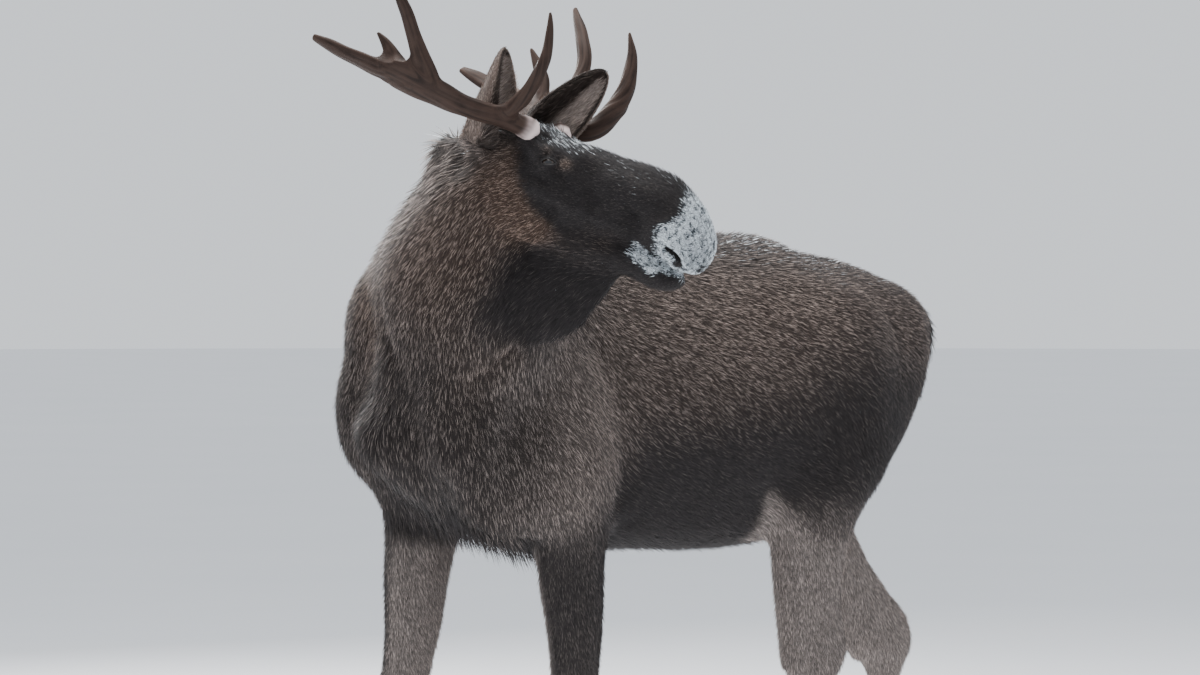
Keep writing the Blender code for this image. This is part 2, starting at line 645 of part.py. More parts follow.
def flesh_nodes():
    """Everything under the coat that is fused, parted into head, neck, trunk and legs."""
    masses = [trunk(), neck(), ball("breast", (0.02, -0.695, 1.40), (0.17, 0.16, 0.22)),
              ball("nape", (0.200, -0.745, 2.020), (0.080, 0.080, 0.065))]
    masses += girdles(LEFT) + girdles(RIGHT) + [leg(name) for name in LEGS] + head_masses()
    flesh = fuse(join("flesh", masses), SKIN_VOXEL)
    relax(flesh, 90, softness)

    nodes = {}
    skull = HEAD @ Matrix.Translation((SKULL_CUT, 0, 0)) @ Matrix.Rotation(math.radians(-45), 4, "Y")
    face_box = (0, -0.26, -0.5), (0.9, 0.26, 0.5)
    rough = part_off(twin(flesh, "spare"), "rough", (-0.04, -0.26, -0.5), (0.9, 0.26, 0.5), skull)
    thin(rough, HEAD_TRIANGLES)
    thin(flesh, BODY_TRIANGLES)
    nodes["head"] = part_off(rough, "head", *face_box, skull)
    bpy.data.objects.remove(rough)
    bpy.data.objects.remove(part_off(flesh, "rest", *face_box, skull))
    bpy.data.objects.remove(bpy.data.objects["spare"])
    nodes["chin"] = part_off(nodes["head"], "chin", (0.40, -0.2, -0.3), (0.8, 0.2, -0.075), HEAD)
    nodes["muzzle"] = part_off(nodes["head"], "muzzle", (0.42, -0.2, -0.3), (0.8, 0.2, 0.3), HEAD)
    base = aim((0, -0.60, 1.74), (0.10, -0.62, 0.78))
    nodes["neck"] = part_off(flesh, "neck", (-0.6, -0.6, 0), (0.6, 0.6, 0.9), base)

    fore_top, hind_top, fore_knee, hind_hock = 0.965, 1.00, 0.495, 0.530
    regions = {
        "front_left": ("forearm", (0.055, -0.56, -0.1), (0.42, -0.16, fore_top), fore_knee),
        "front_right": ("forearm", (-0.42, -0.80, -0.1), (-0.055, -0.38, fore_top), fore_knee),
        "hind_left": ("gaskin", (0.03, 0.17, -0.1), (0.45, 0.80, hind_top), hind_hock),
        "hind_right": ("gaskin", (-0.45, 0.42, -0.1), (-0.03, 1.30, hind_top), hind_hock),
    }
    for name, (upper, low, high, joint) in regions.items():
        limb = part_off(flesh, f"{name}_{upper}", low, high)
        shank = part_off(limb, f"{name}_shank", (low[0], low[1] - 0.3, -0.1), (high[0], high[1] + 0.3, joint))
        floor = block("floor", (-1, -2, -0.5), (1, 2, HOOF_HEIGHT))
        combine(shank, floor, "DIFFERENCE")
        bpy.data.objects.remove(floor)
        nodes[limb.name], nodes[shank.name] = whole(limb), whole(shank)
    nodes["forequarters"] = part_off(flesh, "forequarters", (-0.6, -1.2, 0.5), (0.6, -0.16, 2.2))
    nodes["hindquarters"] = part_off(flesh, "hindquarters", (-0.6, 0.36, 0.5), (0.6, 1.4, 2.2))
    flesh.name = "barrel"
    nodes["barrel"] = whole(flesh)
    for name in ("head", "neck", "hindquarters", "forequarters"):
        whole(nodes[name])
    return nodes


def feet(nodes):
    """Hooves under each leg and dewclaws behind it."""
    for name, (side, *_, joints) in LEGS.items():
        foot = joints["hoof"]
        for label, out in (("outer", side), ("inner", -side)):
            node = f"{name}_claw_{label}"
            nodes[node] = claw(node, foot, out)
            node = f"{name}_dewclaw_{label}"
            nodes[node] = seat(dewclaw(node, foot, out), nodes[f"{name}_shank"])


def head_gear(nodes):
    """Eyes, ears and antlers."""
    palm_way = (0.62, 0.45, -0.65)
    for side in (RIGHT, LEFT):
        name = SIDE_NAMES[side]
        place = (EYE_PLACE[0], side * EYE_PLACE[1], EYE_PLACE[2])
        nodes[f"eye_{name}"] = ball(f"eye_{name}", place, (EYE_RADIUS,) * 3, (0, 0, 0), HEAD, 12)
        socket = ball("socket", place, (EYE_RADIUS + GAP * 1.3,) * 3, (0, 0, 0), HEAD, 12)
        combine(nodes["head"], socket, "DIFFERENCE")
        bpy.data.objects.remove(socket)
        whole(nodes["head"])

        beam = seat(antler_limb(f"{name}_beam", BEAM, side, palm_way), nodes["head"])
        start, end = on_head(-0.030, side * 0.284, 0.147), on_head(-0.100, side * 0.352, 0.162)
        palm = part_off(beam, f"{name}_palm", (-0.3, -0.3, 0), (0.3, 0.3, 0.5), aim(start, end - start))
        whole(beam)
        rear = seat(antler_limb(f"{name}_rear_tine", REAR_TINE, side, palm_way), palm)
        made = {beam.name: beam, palm.name: palm, rear.name: rear}
        for label, rows in TINES[side].items():
            flat = (0.9, 0.3, 0) if label == "brow_tine" else palm_way
            tine = antler_limb(f"{name}_{label}", rows, side, flat)
            for host in (beam, palm, rear):
                if label != "brow_tine" or host is beam:
                    seat(tine, host)
            made[tine.name] = tine
        for label, obj in made.items():
            obj.name = f"antler_{label}"
            nodes[obj.name] = obj
    for side, shape in EARS.items():
        name = f"ear_{SIDE_NAMES[side]}"
        nodes[name] = ear(name, side, *shape)
        for host in ("head", "neck", f"antler_{SIDE_NAMES[side]}_beam"):
            seat(nodes[name], nodes[host])


FINISHES = (
    ("claw", (0.035, 0.028, 0.024), 0.45), ("eye", (0.010, 0.008, 0.007), 0.10),
    ("antler", (0.150, 0.095, 0.060), 0.60), ("ear", (0.110, 0.085, 0.070), 0.90),
    ("tail", (0.020, 0.017, 0.015), 0.90), ("muzzle", (0.060, 0.050, 0.048), 0.85),
    ("chin", (0.060, 0.050, 0.048), 0.85), ("head", (0.045, 0.036, 0.032), 0.90),
    ("shank", (0.170, 0.140, 0.120), 0.90), ("forearm", (0.120, 0.098, 0.084), 0.90),
    ("gaskin", (0.130, 0.105, 0.090), 0.90), ("", (0.070, 0.055, 0.047), 0.90),
)


def finish(nodes):
    """Puts the origin under the middle of the bounding box and gives each node its own material."""
    points = np.concatenate([np.array([v.co for v in obj.data.vertices]) for obj in nodes.values()])
    middle = (points.min(axis=0) + points.max(axis=0)) / 2
    home = bpy.data.collections.new("moose")
    bpy.context.scene.collection.children.link(home)
    for name, obj in nodes.items():
        obj.data.transform(Matrix.Translation((-middle[0], -middle[1], 0)))
        obj.name = obj.data.name = name
        colour, roughness = next((c, r) for key, c, r in FINISHES if key in name)
        material = bpy.data.materials.new(f"{name}_surface")
        material.use_nodes = True
        shader = material.node_tree.nodes["Principled BSDF"]
        shader.inputs["Base Color"].default_value = (*colour, 1.0)
        shader.inputs["Roughness"].default_value = roughness
        obj.data.materials.clear()
        obj.data.materials.append(material)
        home.objects.link(obj)
        bpy.context.scene.collection.objects.unlink(obj)


def main():
    for obj in list(bpy.data.objects):
        bpy.data.objects.remove(obj)
    nodes = flesh_nodes()
    nodes["bell"] = bell()
    for host in ("neck", "head", "chin", "muzzle", "forequarters"):
        seat(nodes["bell"], nodes[host])
    nodes["tail"] = seat(tail(), nodes["hindquarters"])
    feet(nodes)
    head_gear(nodes)
    finish(nodes)


if __name__ == "__main__":
    main()
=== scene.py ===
"""The looks of a life-size bull moose: one skin under a winter coat, with antlers, ears, eyes and hooves.

Everything is modelled in the animal's own frame (metres, +Z up, facing -Y, left side towards +X) and then
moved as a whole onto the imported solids. Places on the head are given in the head's frame: forward, left, up.
"""

import logging
import math
from contextlib import contextmanager
from dataclasses import dataclass
from enum import Enum
from typing import Callable, Iterable, Iterator, Sequence

import bmesh
import bpy
import numpy as np
from mathutils import Matrix, Vector


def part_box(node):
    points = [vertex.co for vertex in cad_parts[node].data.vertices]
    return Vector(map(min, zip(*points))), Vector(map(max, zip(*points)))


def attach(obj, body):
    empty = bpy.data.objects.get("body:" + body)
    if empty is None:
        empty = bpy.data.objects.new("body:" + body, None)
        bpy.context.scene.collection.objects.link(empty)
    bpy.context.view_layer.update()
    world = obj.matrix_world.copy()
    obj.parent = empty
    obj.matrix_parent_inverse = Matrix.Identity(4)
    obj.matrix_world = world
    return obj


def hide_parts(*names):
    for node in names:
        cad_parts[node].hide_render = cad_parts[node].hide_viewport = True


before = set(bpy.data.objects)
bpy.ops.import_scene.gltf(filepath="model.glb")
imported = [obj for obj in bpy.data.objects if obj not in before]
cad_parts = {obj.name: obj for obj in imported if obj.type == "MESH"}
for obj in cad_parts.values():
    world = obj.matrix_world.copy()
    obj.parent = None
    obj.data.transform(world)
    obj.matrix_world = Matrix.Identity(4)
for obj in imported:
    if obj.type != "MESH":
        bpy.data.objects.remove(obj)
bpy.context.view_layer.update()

log = logging.getLogger("moose")

Array = np.ndarray
Triple = tuple[float, float, float]
Colour = tuple[float, float, float]

LEFT, RIGHT = 1, -1
SIDE_NAMES = {LEFT: "left", RIGHT: "right"}


class Slot(Enum):
    """The record's material slots."""

    COAT = "coat"
    LEGS = "leg_coat"
    FACE = "face"
    EAR = "ear_coat"
    ANTLER = "antler"
    HOOF = "hoof"
    EYE = "eye"


# ---- the head's frame
HEAD_ORIGIN = Vector((0.3, -0.69, 1.975))
HEAD_TURN, HEAD_PITCH, HEAD_ROLL = math.radians(118.0), math.radians(18.6), math.radians(4.0)
EYE_PLACE: Triple = (0.203, 0.093, 0.067)
EYE_RADIUS = 0.0205
HOOF_HEIGHT = 0.08


def head_matrix() -> Matrix:
    """Takes head places (forward, left, up) to the animal's frame."""
    ahead = Matrix(((0, 1, 0, 0), (-1, 0, 0, 0), (0, 0, 1, 0), (0, 0, 0, 1)))
    turned = Matrix.Rotation(HEAD_TURN, 4, "Z") @ Matrix.Rotation(HEAD_PITCH, 4, "X")
    return Matrix.Translation(HEAD_ORIGIN) @ turned @ Matrix.Rotation(HEAD_ROLL, 4, "Y") @ ahead


HEAD = head_matrix()
HEAD_ARRAY = np.array(HEAD)
HEAD_INVERSE = np.array(HEAD.inverted())


def on_head(forward: float, left: float, up: float) -> Vector:
    """A place on the head, in the animal's frame."""
    return HEAD @ Vector((forward, left, up))


def head_way(forward: float, left: float, up: float) -> Vector:
    """A direction of the head, in the animal's frame."""
    return (HEAD.to_3x3() @ Vector((forward, left, up))).normalized()


def folded(head: Array) -> Array:
    """Head places with both sides laid on the left one."""
    flip = np.ones_like(head)
    flip[:, 1] = np.where(head[:, 1] < 0, RIGHT, LEFT)
    return head * flip


def in_head(points: Array) -> Array:
    """Points of the animal's frame as head places."""
    return points @ HEAD_INVERSE[:3, :3].T + HEAD_INVERSE[:3, 3]


def from_head(head: Array) -> Array:
    """Head places as points of the animal's frame."""
    return head @ HEAD_ARRAY[:3, :3].T + HEAD_ARRAY[:3, 3]


def from_centre(points: Array, forward: float) -> Array:
    """Distance of points from a place on the head's middle line."""
    return np.linalg.norm(points - np.array(on_head(forward, 0, 0)), axis=1)


# ---- small maths
def unit(vectors: Array) -> Array:
    """Vectors of length one."""
    return vectors / np.maximum(np.linalg.norm(vectors, axis=-1, keepdims=True), 1e-9)


def square_to(way: Array, vectors: Array) -> Array:
    """Unit vectors, each turned square to its own direction."""
    return unit(vectors - way * (vectors * way).sum(1, keepdims=True))


def eye_axes() -> tuple[Array, Array, Array]:
    """The left eye's directions along the lids, up and outwards, as head ways."""
    out, along = unit(np.array((0.22, 0.94, 0.26))), unit(np.array((0.95, 0.0, 0.31)))
    along = unit(along - out * (along @ out))
    return along, np.cross(along, out), out


EYE_AXES = eye_axes()


def ramp(x: Array, low: float, high: float) -> Array:
    """0 below low, 1 above high, smooth between."""
    t = np.clip((x - low) / (high - low), 0, 1)
    return t * t * (3 - 2 * t)


def bell_curve(x: Array, width: float) -> Array:
    """1 at zero, falling away over a width."""
    return np.exp(-((x / width) ** 2))


def smooth_rows(rows: Sequence[Sequence[float]], steps: int) -> Array:
    """Rows of numbers with more between them, on a cubic through them all.

    Args:
        rows: The rows; the first three numbers of each are a place.
        steps: Spans made of each span.

    Returns:
        The denser rows.
    """
    table = np.array(rows, float)
    spans = np.maximum(np.linalg.norm(np.diff(table[:, :3], axis=0), axis=1), 1e-4)
    slopes = np.gradient(table, np.concatenate([[0.0], np.cumsum(spans)]), axis=0)
    made = [table[0]]
    for i, span in enumerate(spans):
        for t in np.linspace(0, 1, steps + 1)[1:]:
            a, b = 2 * t**3 - 3 * t**2 + 1, t**3 - 2 * t**2 + t
            c, d = 3 * t**2 - 2 * t**3, t**3 - t**2
            made.append(a * table[i] + b * span * slopes[i] + c * table[i + 1] + d * span * slopes[i + 1])
    return np.array(made)


def to_polyline(points: Array, line: Sequence[Sequence[float]]) -> tuple[Array, Array]:
    """Distance of points from a polyline, and how far along it, 0 to 1, the nearest place is."""
    corners = np.array(line, float)
    best, share = np.full(len(points), 1e9), np.zeros(len(points))
    spans = len(corners) - 1
    for i in range(spans):
        way = corners[i + 1] - corners[i]
        t = np.clip((points - corners[i]) @ way / (way @ way), 0, 1)
        far = np.linalg.norm(points - corners[i] - t[:, None] * way, axis=1)
        near = far < best
        best[near], share[near] = far[near], ((i + t) / spans)[near]
    return best, share


# ---- forms and meshes
@dataclass(frozen=True)
class Ring:
    """A ring of a loft: middle, half width, reach to the back and the belly, way up, narrowing on top."""

    at: Vector
    side: float
    dorsal: float
    ventral: float
    up: Sequence[float] = (0, 0, 1)
    ridge: float = 0.0


@dataclass
class Form:
    """A shape as plain points and faces."""

    points: Array
    faces: list[tuple[int, ...]]

    @classmethod
    def merged(cls, forms: Iterable["Form"]) -> "Form":
        """All the forms' shapes in one."""
        points, faces, start = [], [], 0
        for form in forms:
            points.append(form.points)
            faces += [tuple(i + start for i in face) for face in form.faces]
            start += len(form.points)
        return cls(np.concatenate(points), faces)

    @classmethod
    def tube(cls, hoops: Array, closed: bool = False) -> "Form":
        """A skin over hoops of equal counts, capped at both ends or closed into a loop.

        Args:
            hoops: Array of hoops by points by three.
            closed: Whether the last hoop joins the first.

        Returns:
            The tube.
        """
        rows, count = hoops.shape[:2]
        faces = []
        for i in range(rows if closed else rows - 1):
            j = (i + 1) % rows
            for k in range(count):
                n = (k + 1) % count
                faces.append((i * count + k, i * count + n, j * count + n, j * count + k))
        if not closed:
            faces += [tuple(range(count))[::-1], tuple(range((rows - 1) * count, rows * count))]
        return cls(hoops.reshape(-1, 3), faces)

    def build(self, name: str) -> bpy.types.Object:
        """Links the form to the scene as an object whose faces point out."""
        data = bpy.data.meshes.new(name)
        data.from_pydata(self.points.tolist(), [], self.faces)
        face_out(data)
        return link(name, data)


@contextmanager
def editing(data: bpy.types.Mesh) -> Iterator[bmesh.types.BMesh]:
    """The mesh open for editing, written back at the end."""
    mesh = bmesh.new()
    mesh.from_mesh(data)
    yield mesh
    mesh.to_mesh(data)
    mesh.free()


def face_out(data: bpy.types.Mesh) -> None:
    """Makes the faces of a mesh point out."""
    with editing(data) as mesh:
        bmesh.ops.recalc_face_normals(mesh, faces=mesh.faces)


def link(name: str, data: bpy.types.ID) -> bpy.types.Object:
    """An object of a mesh, light or camera, linked to the scene."""
    made = bpy.data.objects.new(name, data)
    bpy.context.scene.collection.objects.link(made)
    return made


def loft(rings: Sequence[Ring], around: int = 24, steps: int = 4) -> Form:
    """A closed tube through rings, square to its own path.

    Args:
        rings: The rings, from one end to the other.
        around: Points of each ring.
        steps: Rings made for each span.

    Returns:
        The tube.
    """
    rows = smooth_rows(
        [(*r.at, r.side, r.dorsal, r.ventral, *Vector(r.up).normalized(), r.ridge) for r in rings], steps)
    way = unit(np.gradient(rows[:, :3], axis=0))
    up = square_to(way, rows[:, 6:9])
    right = np.cross(way, up)
    turn = 2 * math.pi * np.arange(around) / around
    rise = np.cos(turn)[None, :]
    reach = np.where(rise > 0, rows[:, 4:5], rows[:, 5:6]) * rise
    wide = rows[:, 3:4] * np.sin(turn)[None, :] * (1 - rows[:, 9:10] * np.maximum(rise, 0) ** 1.5)
    hoops = rows[:, None, :3] + wide[..., None] * right[:, None] + reach[..., None] * up[:, None]
    return Form.tube(hoops)


def hung(rows: Sequence[Sequence], around: int = 16) -> Form:
    """A loft of rows: X, Y, Z, half width, reach to the back and belly side, way up and ridge."""
    return loft([Ring(Vector(row[:3]), *row[3:]) for row in rows], around)


def ball(at: Sequence[float], radii: Triple, turn: Triple = (0, 0, 0), home: Matrix | None = None) -> Form:
    """An ellipsoid.

    Args:
        at: Its middle.
        radii: Its half sizes.
        turn: How far it is turned about X, Y and Z, in degrees.
        home: The frame that all this is given in.

    Returns:
        The ellipsoid.
    """
    mesh = bmesh.new()
    bmesh.ops.create_uvsphere(mesh, u_segments=24, v_segments=16, radius=1.0)
    place = Matrix.Translation(at)
    for axis, angle in zip("XYZ", turn):
        place = place @ Matrix.Rotation(math.radians(angle), 4, axis)
    mesh.transform((home or Matrix()) @ place @ Matrix.Diagonal((*radii, 1.0)))
    form = Form(np.array([v.co for v in mesh.verts]), [tuple(v.index for v in f.verts) for f in mesh.faces])
    mesh.free()
    return form


def settle(obj: bpy.types.Object) -> bpy.types.Object:
    """Turns an object's modifiers into plain mesh."""
    graph = bpy.context.evaluated_depsgraph_get()
    data = bpy.data.meshes.new_from_object(obj.evaluated_get(graph))
    obj.modifiers.clear()
    obj.data = data
    return obj


def fuse(name: str, forms: Iterable[Form], voxel: float) -> bpy.types.Object:
    """One closed skin over overlapping forms."""
    return reskin(Form.merged(forms).build(name), voxel)


def reskin(obj: bpy.types.Object, voxel: float) -> bpy.types.Object:
    """Gives an object one closed skin round all that it holds."""
    remesh = obj.modifiers.new("fuse", "REMESH")
    remesh.mode = "VOXEL"
    remesh.voxel_size = voxel
    remesh.use_smooth_shade = True
    return settle(obj)


def read(items: bpy.types.bpy_prop_collection, key: str, width: int, kind: type = np.float32) -> Array:
    """One property of all items, as rows."""
    data = np.empty(len(items) * width, kind)
    items.foreach_get(key, data)
    return data.reshape(-1, width)


def places(mesh: bpy.types.Mesh) -> Array:
    """The mesh's points."""
    return read(mesh.vertices, "co", 3).astype(float)


def move(mesh: bpy.types.Mesh, points: Array) -> None:
    """Puts the mesh's points in new places."""
    mesh.vertices.foreach_set("co", points.astype(np.float32).ravel())
    mesh.update()


def normals(mesh: bpy.types.Mesh) -> Array:
    """The mesh's normals at its points."""
    return read(mesh.vertex_normals, "vector", 3).astype(float)


def even_out(mesh: bpy.types.Mesh, values: Array, rounds: int, share: Array | float = 1.0) -> Array:
    """Values of the mesh's points, each moved towards the mean of its neighbours.

    Args:
        mesh: The mesh whose edges say who the neighbours are.
        values: A row of numbers for each point.
        rounds: Times this is done.
        share: How much of it each point takes, 0 to 1.

    Returns:
        The smoother values.
    """
    a, b = read(mesh.edges, "vertices", 2, np.int32).T
    count = len(values)
    degree = np.maximum(np.bincount(a, minlength=count) + np.bincount(b, minlength=count), 1)[:, None]
    share = 0.6 * (share[:, None] if isinstance(share, np.ndarray) else share)
    values = values.copy()
    for _ in range(rounds):
        total = np.stack([np.bincount(a, column[b], count) + np.bincount(b, column[a], count)
                          for column in values.T], axis=1)
        values += share * (total / degree - values)
    return values


def store(
    mesh: bpy.types.Mesh, name: str, values: Array, kind: str = "FLOAT_VECTOR", domain: str = "POINT"
) -> None:
    """Keeps values on the mesh as a named attribute."""
    keys = {"FLOAT": "value", "INT": "value", "FLOAT_VECTOR": "vector", "FLOAT_COLOR": "color"}
    layer = mesh.attributes.new(name, kind, domain)
    layer.data.foreach_set(keys[kind], values.astype(np.int32 if kind == "INT" else np.float32).ravel())


def subdivide(obj: bpy.types.Object, inside: Callable[[Array], Array]) -> None:
    """Halves the edges of the mesh that lie in a region."""
    chosen = inside(places(obj.data))
    with editing(obj.data) as mesh:
        edges = [e for e in mesh.edges if chosen[e.verts[0].index] and chosen[e.verts[1].index]]
        bmesh.ops.subdivide_edges(mesh, edges=edges, cuts=1, use_grid_fill=True)


def thin(obj: bpy.types.Object, triangles: int) -> None:
    """Decimates to a number of triangles."""
    obj.data.calc_loop_triangles()
    fewer = obj.modifiers.new("fewer", "DECIMATE")
    fewer.ratio = min(1.0, triangles / len(obj.data.loop_triangles))
    settle(obj)


SHIFT = (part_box("eye_left")[0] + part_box("eye_left")[1]) / 2 - on_head(*EYE_PLACE)


def hand_over(
    obj: bpy.types.Object, material: bpy.types.Material, nodes: Sequence[str] = ()
) -> None:
    """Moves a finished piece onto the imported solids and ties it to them.

    Args:
        obj: The piece, modelled in the animal's frame.
        material: Its finish.
        nodes: CAD nodes that it stands for.
    """
    obj.data.transform(Matrix.Translation(SHIFT))
    obj.data.materials.clear()
    obj.data.materials.append(material)
    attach(obj, "root")
    if nodes:
        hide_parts(*nodes)
    obj.data.calc_loop_triangles()
    log.info("%s: %d triangles", obj.name, len(obj.data.loop_triangles))


# ---- node trees
class Tree:
    """Adds nodes to a shader tree or a geometry tree."""

    def __init__(self, tree: bpy.types.NodeTree) -> None:
        """Takes the tree to add to."""
        self.tree = tree

    def feed(self, socket: bpy.types.NodeSocket, value: object) -> None:
        """Links a socket to another, or sets its value."""
        value = value.socket if isinstance(value, Val) else value
        if isinstance(value, bpy.types.NodeSocket):
            self.tree.links.new(value, socket)
        elif socket.type == "RGBA" and len(value) == 3:
            socket.default_value = (*value, 1.0)
        else:
            socket.default_value = value

    def node(self, kind: str, settings: dict | None = None, inputs: dict | None = None) -> bpy.types.Node:
        """Adds one node.

        Args:
            kind: The node's type.
            settings: Its properties, set first.
            inputs: Values or links by the name or index of the socket.

        Returns:
            The node.
        """
        made = self.tree.nodes.new(kind)
        for key, value in (settings or {}).items():
            setattr(made, key, value)
        for key, value in (inputs or {}).items():
            socket = made.inputs[key] if isinstance(key, int) else self.named(made.inputs, key)
            self.feed(socket, value)
        return made

    @staticmethod
    def named(sockets: bpy.types.bpy_prop_collection, name: str) -> bpy.types.NodeSocket:
        """The socket in use that has a name."""
        return next(s for s in sockets if s.name == name and s.enabled)

    def value(self, kind: str, settings: dict | None = None, inputs: dict | None = None,
              output: str | int = 0) -> "Val":
        """Adds a node and takes one of its outputs."""
        made = self.node(kind, settings, inputs)
        socket = made.outputs[output] if isinstance(output, int) else self.named(made.outputs, output)
        return Val(self, socket)

    def mix(self, first: object, second: object, factor: object) -> "Val":
        """One colour going over to another."""
        return self.value("ShaderNodeMix", {"data_type": "RGBA"},
                          {"Factor": factor, "A": first, "B": second}, "Result")

    def vector(self, operation: str, *inputs: object, output: str | int = 0) -> "Val":
        """Vector maths on two vectors, or on a vector and a scale."""
        keys = ("Vector", "Scale") if operation == "SCALE" else range(len(inputs))
        return self.value("ShaderNodeVectorMath", {"operation": operation}, dict(zip(keys, inputs)), output)

    def noise(self, where: object, scale: float, detail: float = 2.0, output: str = "Fac") -> "Val":
        """Noise over a place, in waves per metre."""
        inputs = {"Vector": where, "Scale": scale, "Detail": detail}
        return self.value("ShaderNodeTexNoise", {}, inputs, output)


class Val:
    """A number on a socket, so that maths on it reads as plain Python."""

    def __init__(self, tree: Tree, socket: bpy.types.NodeSocket) -> None:
        """Takes the tree and the socket."""
        self.tree, self.socket = tree, socket

    def math(self, operation: str, *others: object) -> "Val":
        """A Math node on this and other numbers."""
        inputs = dict(enumerate((self, *others)))
        return self.tree.value("ShaderNodeMath", {"operation": operation}, inputs)

    def reflected(self, operation: str, other: object) -> "Val":
        """A Math node with this number last."""
        return self.tree.value("ShaderNodeMath", {"operation": operation}, {0: other, 1: self})

    def __add__(self, other: object) -> "Val":
        """Sum."""
        return self.math("ADD", other)

    def __sub__(self, other: object) -> "Val":
        """Difference."""
        return self.math("SUBTRACT", other)

    def __rsub__(self, other: object) -> "Val":
        """Difference, reflected."""
        return self.reflected("SUBTRACT", other)

    def __mul__(self, other: object) -> "Val":
        """Product."""
        return self.math("MULTIPLY", other)

    def __truediv__(self, other: object) -> "Val":
        """Quotient."""
        return self.math("DIVIDE", other)

    def __pow__(self, other: object) -> "Val":
        """Power."""
        return self.math("POWER", other)

    __radd__, __rmul__ = __add__, __mul__

    def ramp(self, low: float, high: float) -> "Val":
        """0 below low, 1 above high, smooth between."""
        return self.tree.value("ShaderNodeMapRange", {"interpolation_type": "SMOOTHSTEP"},
                               {"Value": self, "From Min": low, "From Max": high})

    def parts(self) -> tuple["Val", "Val", "Val"]:
        """The three numbers of a vector or a colour."""
        made = self.tree.node("ShaderNodeSeparateXYZ", {}, {0: self})
        return tuple(Val(self.tree, socket) for socket in made.outputs)


class Surface(Tree):
    """A Principled material under construction."""

    def __init__(self, name: str, roughness: float, **constants: float | Colour) -> None:
        """Starts a material.

        Args:
            name: Its name.
            roughness: Its roughness.
            constants: Other shader values, with _ for a space in the name.
        """
        self.material = bpy.data.materials.new(name)
        self.material.use_nodes = True
        super().__init__(self.material.node_tree)
        self.shader = self.tree.nodes["Principled BSDF"]
        self.set(Roughness=roughness, **constants)
        self.where = self.value("ShaderNodeTexCoord", output="Object")

    def set(self, **inputs: object) -> None:
        """Sets or links the shader's sockets, with _ for a space in the name."""
        for key, value in inputs.items():
            self.feed(self.shader.inputs[key.replace("_", " ")], value)

    def attribute(self, name: str, output: str = "Vector") -> Val:
        """A named attribute of the mesh."""
        return self.value("ShaderNodeAttribute", {"attribute_name": name}, output=output)

    def bump(self, height: Val, distance: float) -> None:
        """Raises the surface by a height, 0 to 1, of a distance in metres."""
        self.set(Normal=self.value("ShaderNodeBump", {}, {"Height": height, "Distance": distance}, "Normal"))


# ---- finishes
@dataclass(frozen=True)
class CoatFinish:
    """Hair: its colours by marking, from dark to frosted, with painted shade deep in the coat."""

    ground: Colour = (0.054, 0.041, 0.036)
    dark: Colour = (0.034, 0.0285, 0.029)
    warm: Colour = (0.115, 0.067, 0.045)
    pale: Colour = (0.33, 0.285, 0.262)
    fleck: Colour = (0.7, 0.585, 0.53)
    warm_fleck: Colour = (0.56, 0.37, 0.27)
    rime: Colour = (0.085, 0.108, 0.128)
    frost: Colour = (0.88, 0.94, 0.98)

    def material(self, name: str, tufted: bool) -> bpy.types.Material:
        """The hair's material.

        Args:
            name: Name of the material.
            tufted: True for tufts, which know their place from root to tip; False for the skin.

        Returns:
            The material.
        """
        surface = Surface(name, 0.6, Specular_IOR_Level=0.22, Sheen_Weight=0.05, Sheen_Roughness=0.5)
        dark, warm, pale = surface.attribute("marks", "Color").parts()
        frost = surface.attribute("marks", "Alpha")
        mottle = surface.noise(surface.where, 34.0, 3.0)
        if tufted:
            along, shade, chance = surface.attribute("strand").parts()
            # Tufts darken towards the root: painted shade deep in the coat.
            tip, root = along.ramp(0.3, 0.72), along * 0.6 + 0.4
        else:
            shade = surface.noise(surface.where, 420.0, 1.0)
            chance = surface.noise(surface.where, 260.0, 2.0) * 2.0 - 0.5
            # The skin between the tufts is darkened to 0.55: painted shade deep in the coat.
            tip, root = 0.3, 0.55
        dark = (dark + (mottle - 0.5) * 0.5).ramp(0.0, 1.0)
        ground = surface.mix(surface.mix(self.ground, self.pale, pale), self.warm, warm)
        ground = surface.mix(ground, self.dark, dark)
        fleck = surface.mix(self.fleck, self.warm_fleck, warm)
        light = (chance - dark * 0.24 + pale * 0.2 - 0.52).ramp(-0.02, 0.16)
        colour = surface.mix(ground, fleck, light * tip * (0.87 - dark * 0.78))
        colour = surface.vector("SCALE", colour, (shade * 0.6 + 0.7) * (mottle * 0.8 + 0.6) * root)
        colour = surface.mix(colour, self.rime, frost * 0.55)
        clump = surface.noise(surface.where, 80.0, 3.0) * 6.0 - 3.0
        frosted = (frost * (clump * 0.5 + 0.76) - chance).ramp(0.0, 0.06)
        frosted = frosted * (along.ramp(0.0, 0.3) if tufted else 0.4)
        colour = surface.mix(colour, surface.vector("SCALE", self.frost, shade * 0.6 + 0.75), frosted)
        surface.set(Base_Color=colour)
        if not tufted:
            surface.bump(surface.noise(surface.where, 520.0, 2.0), 0.0025)
        return surface.material


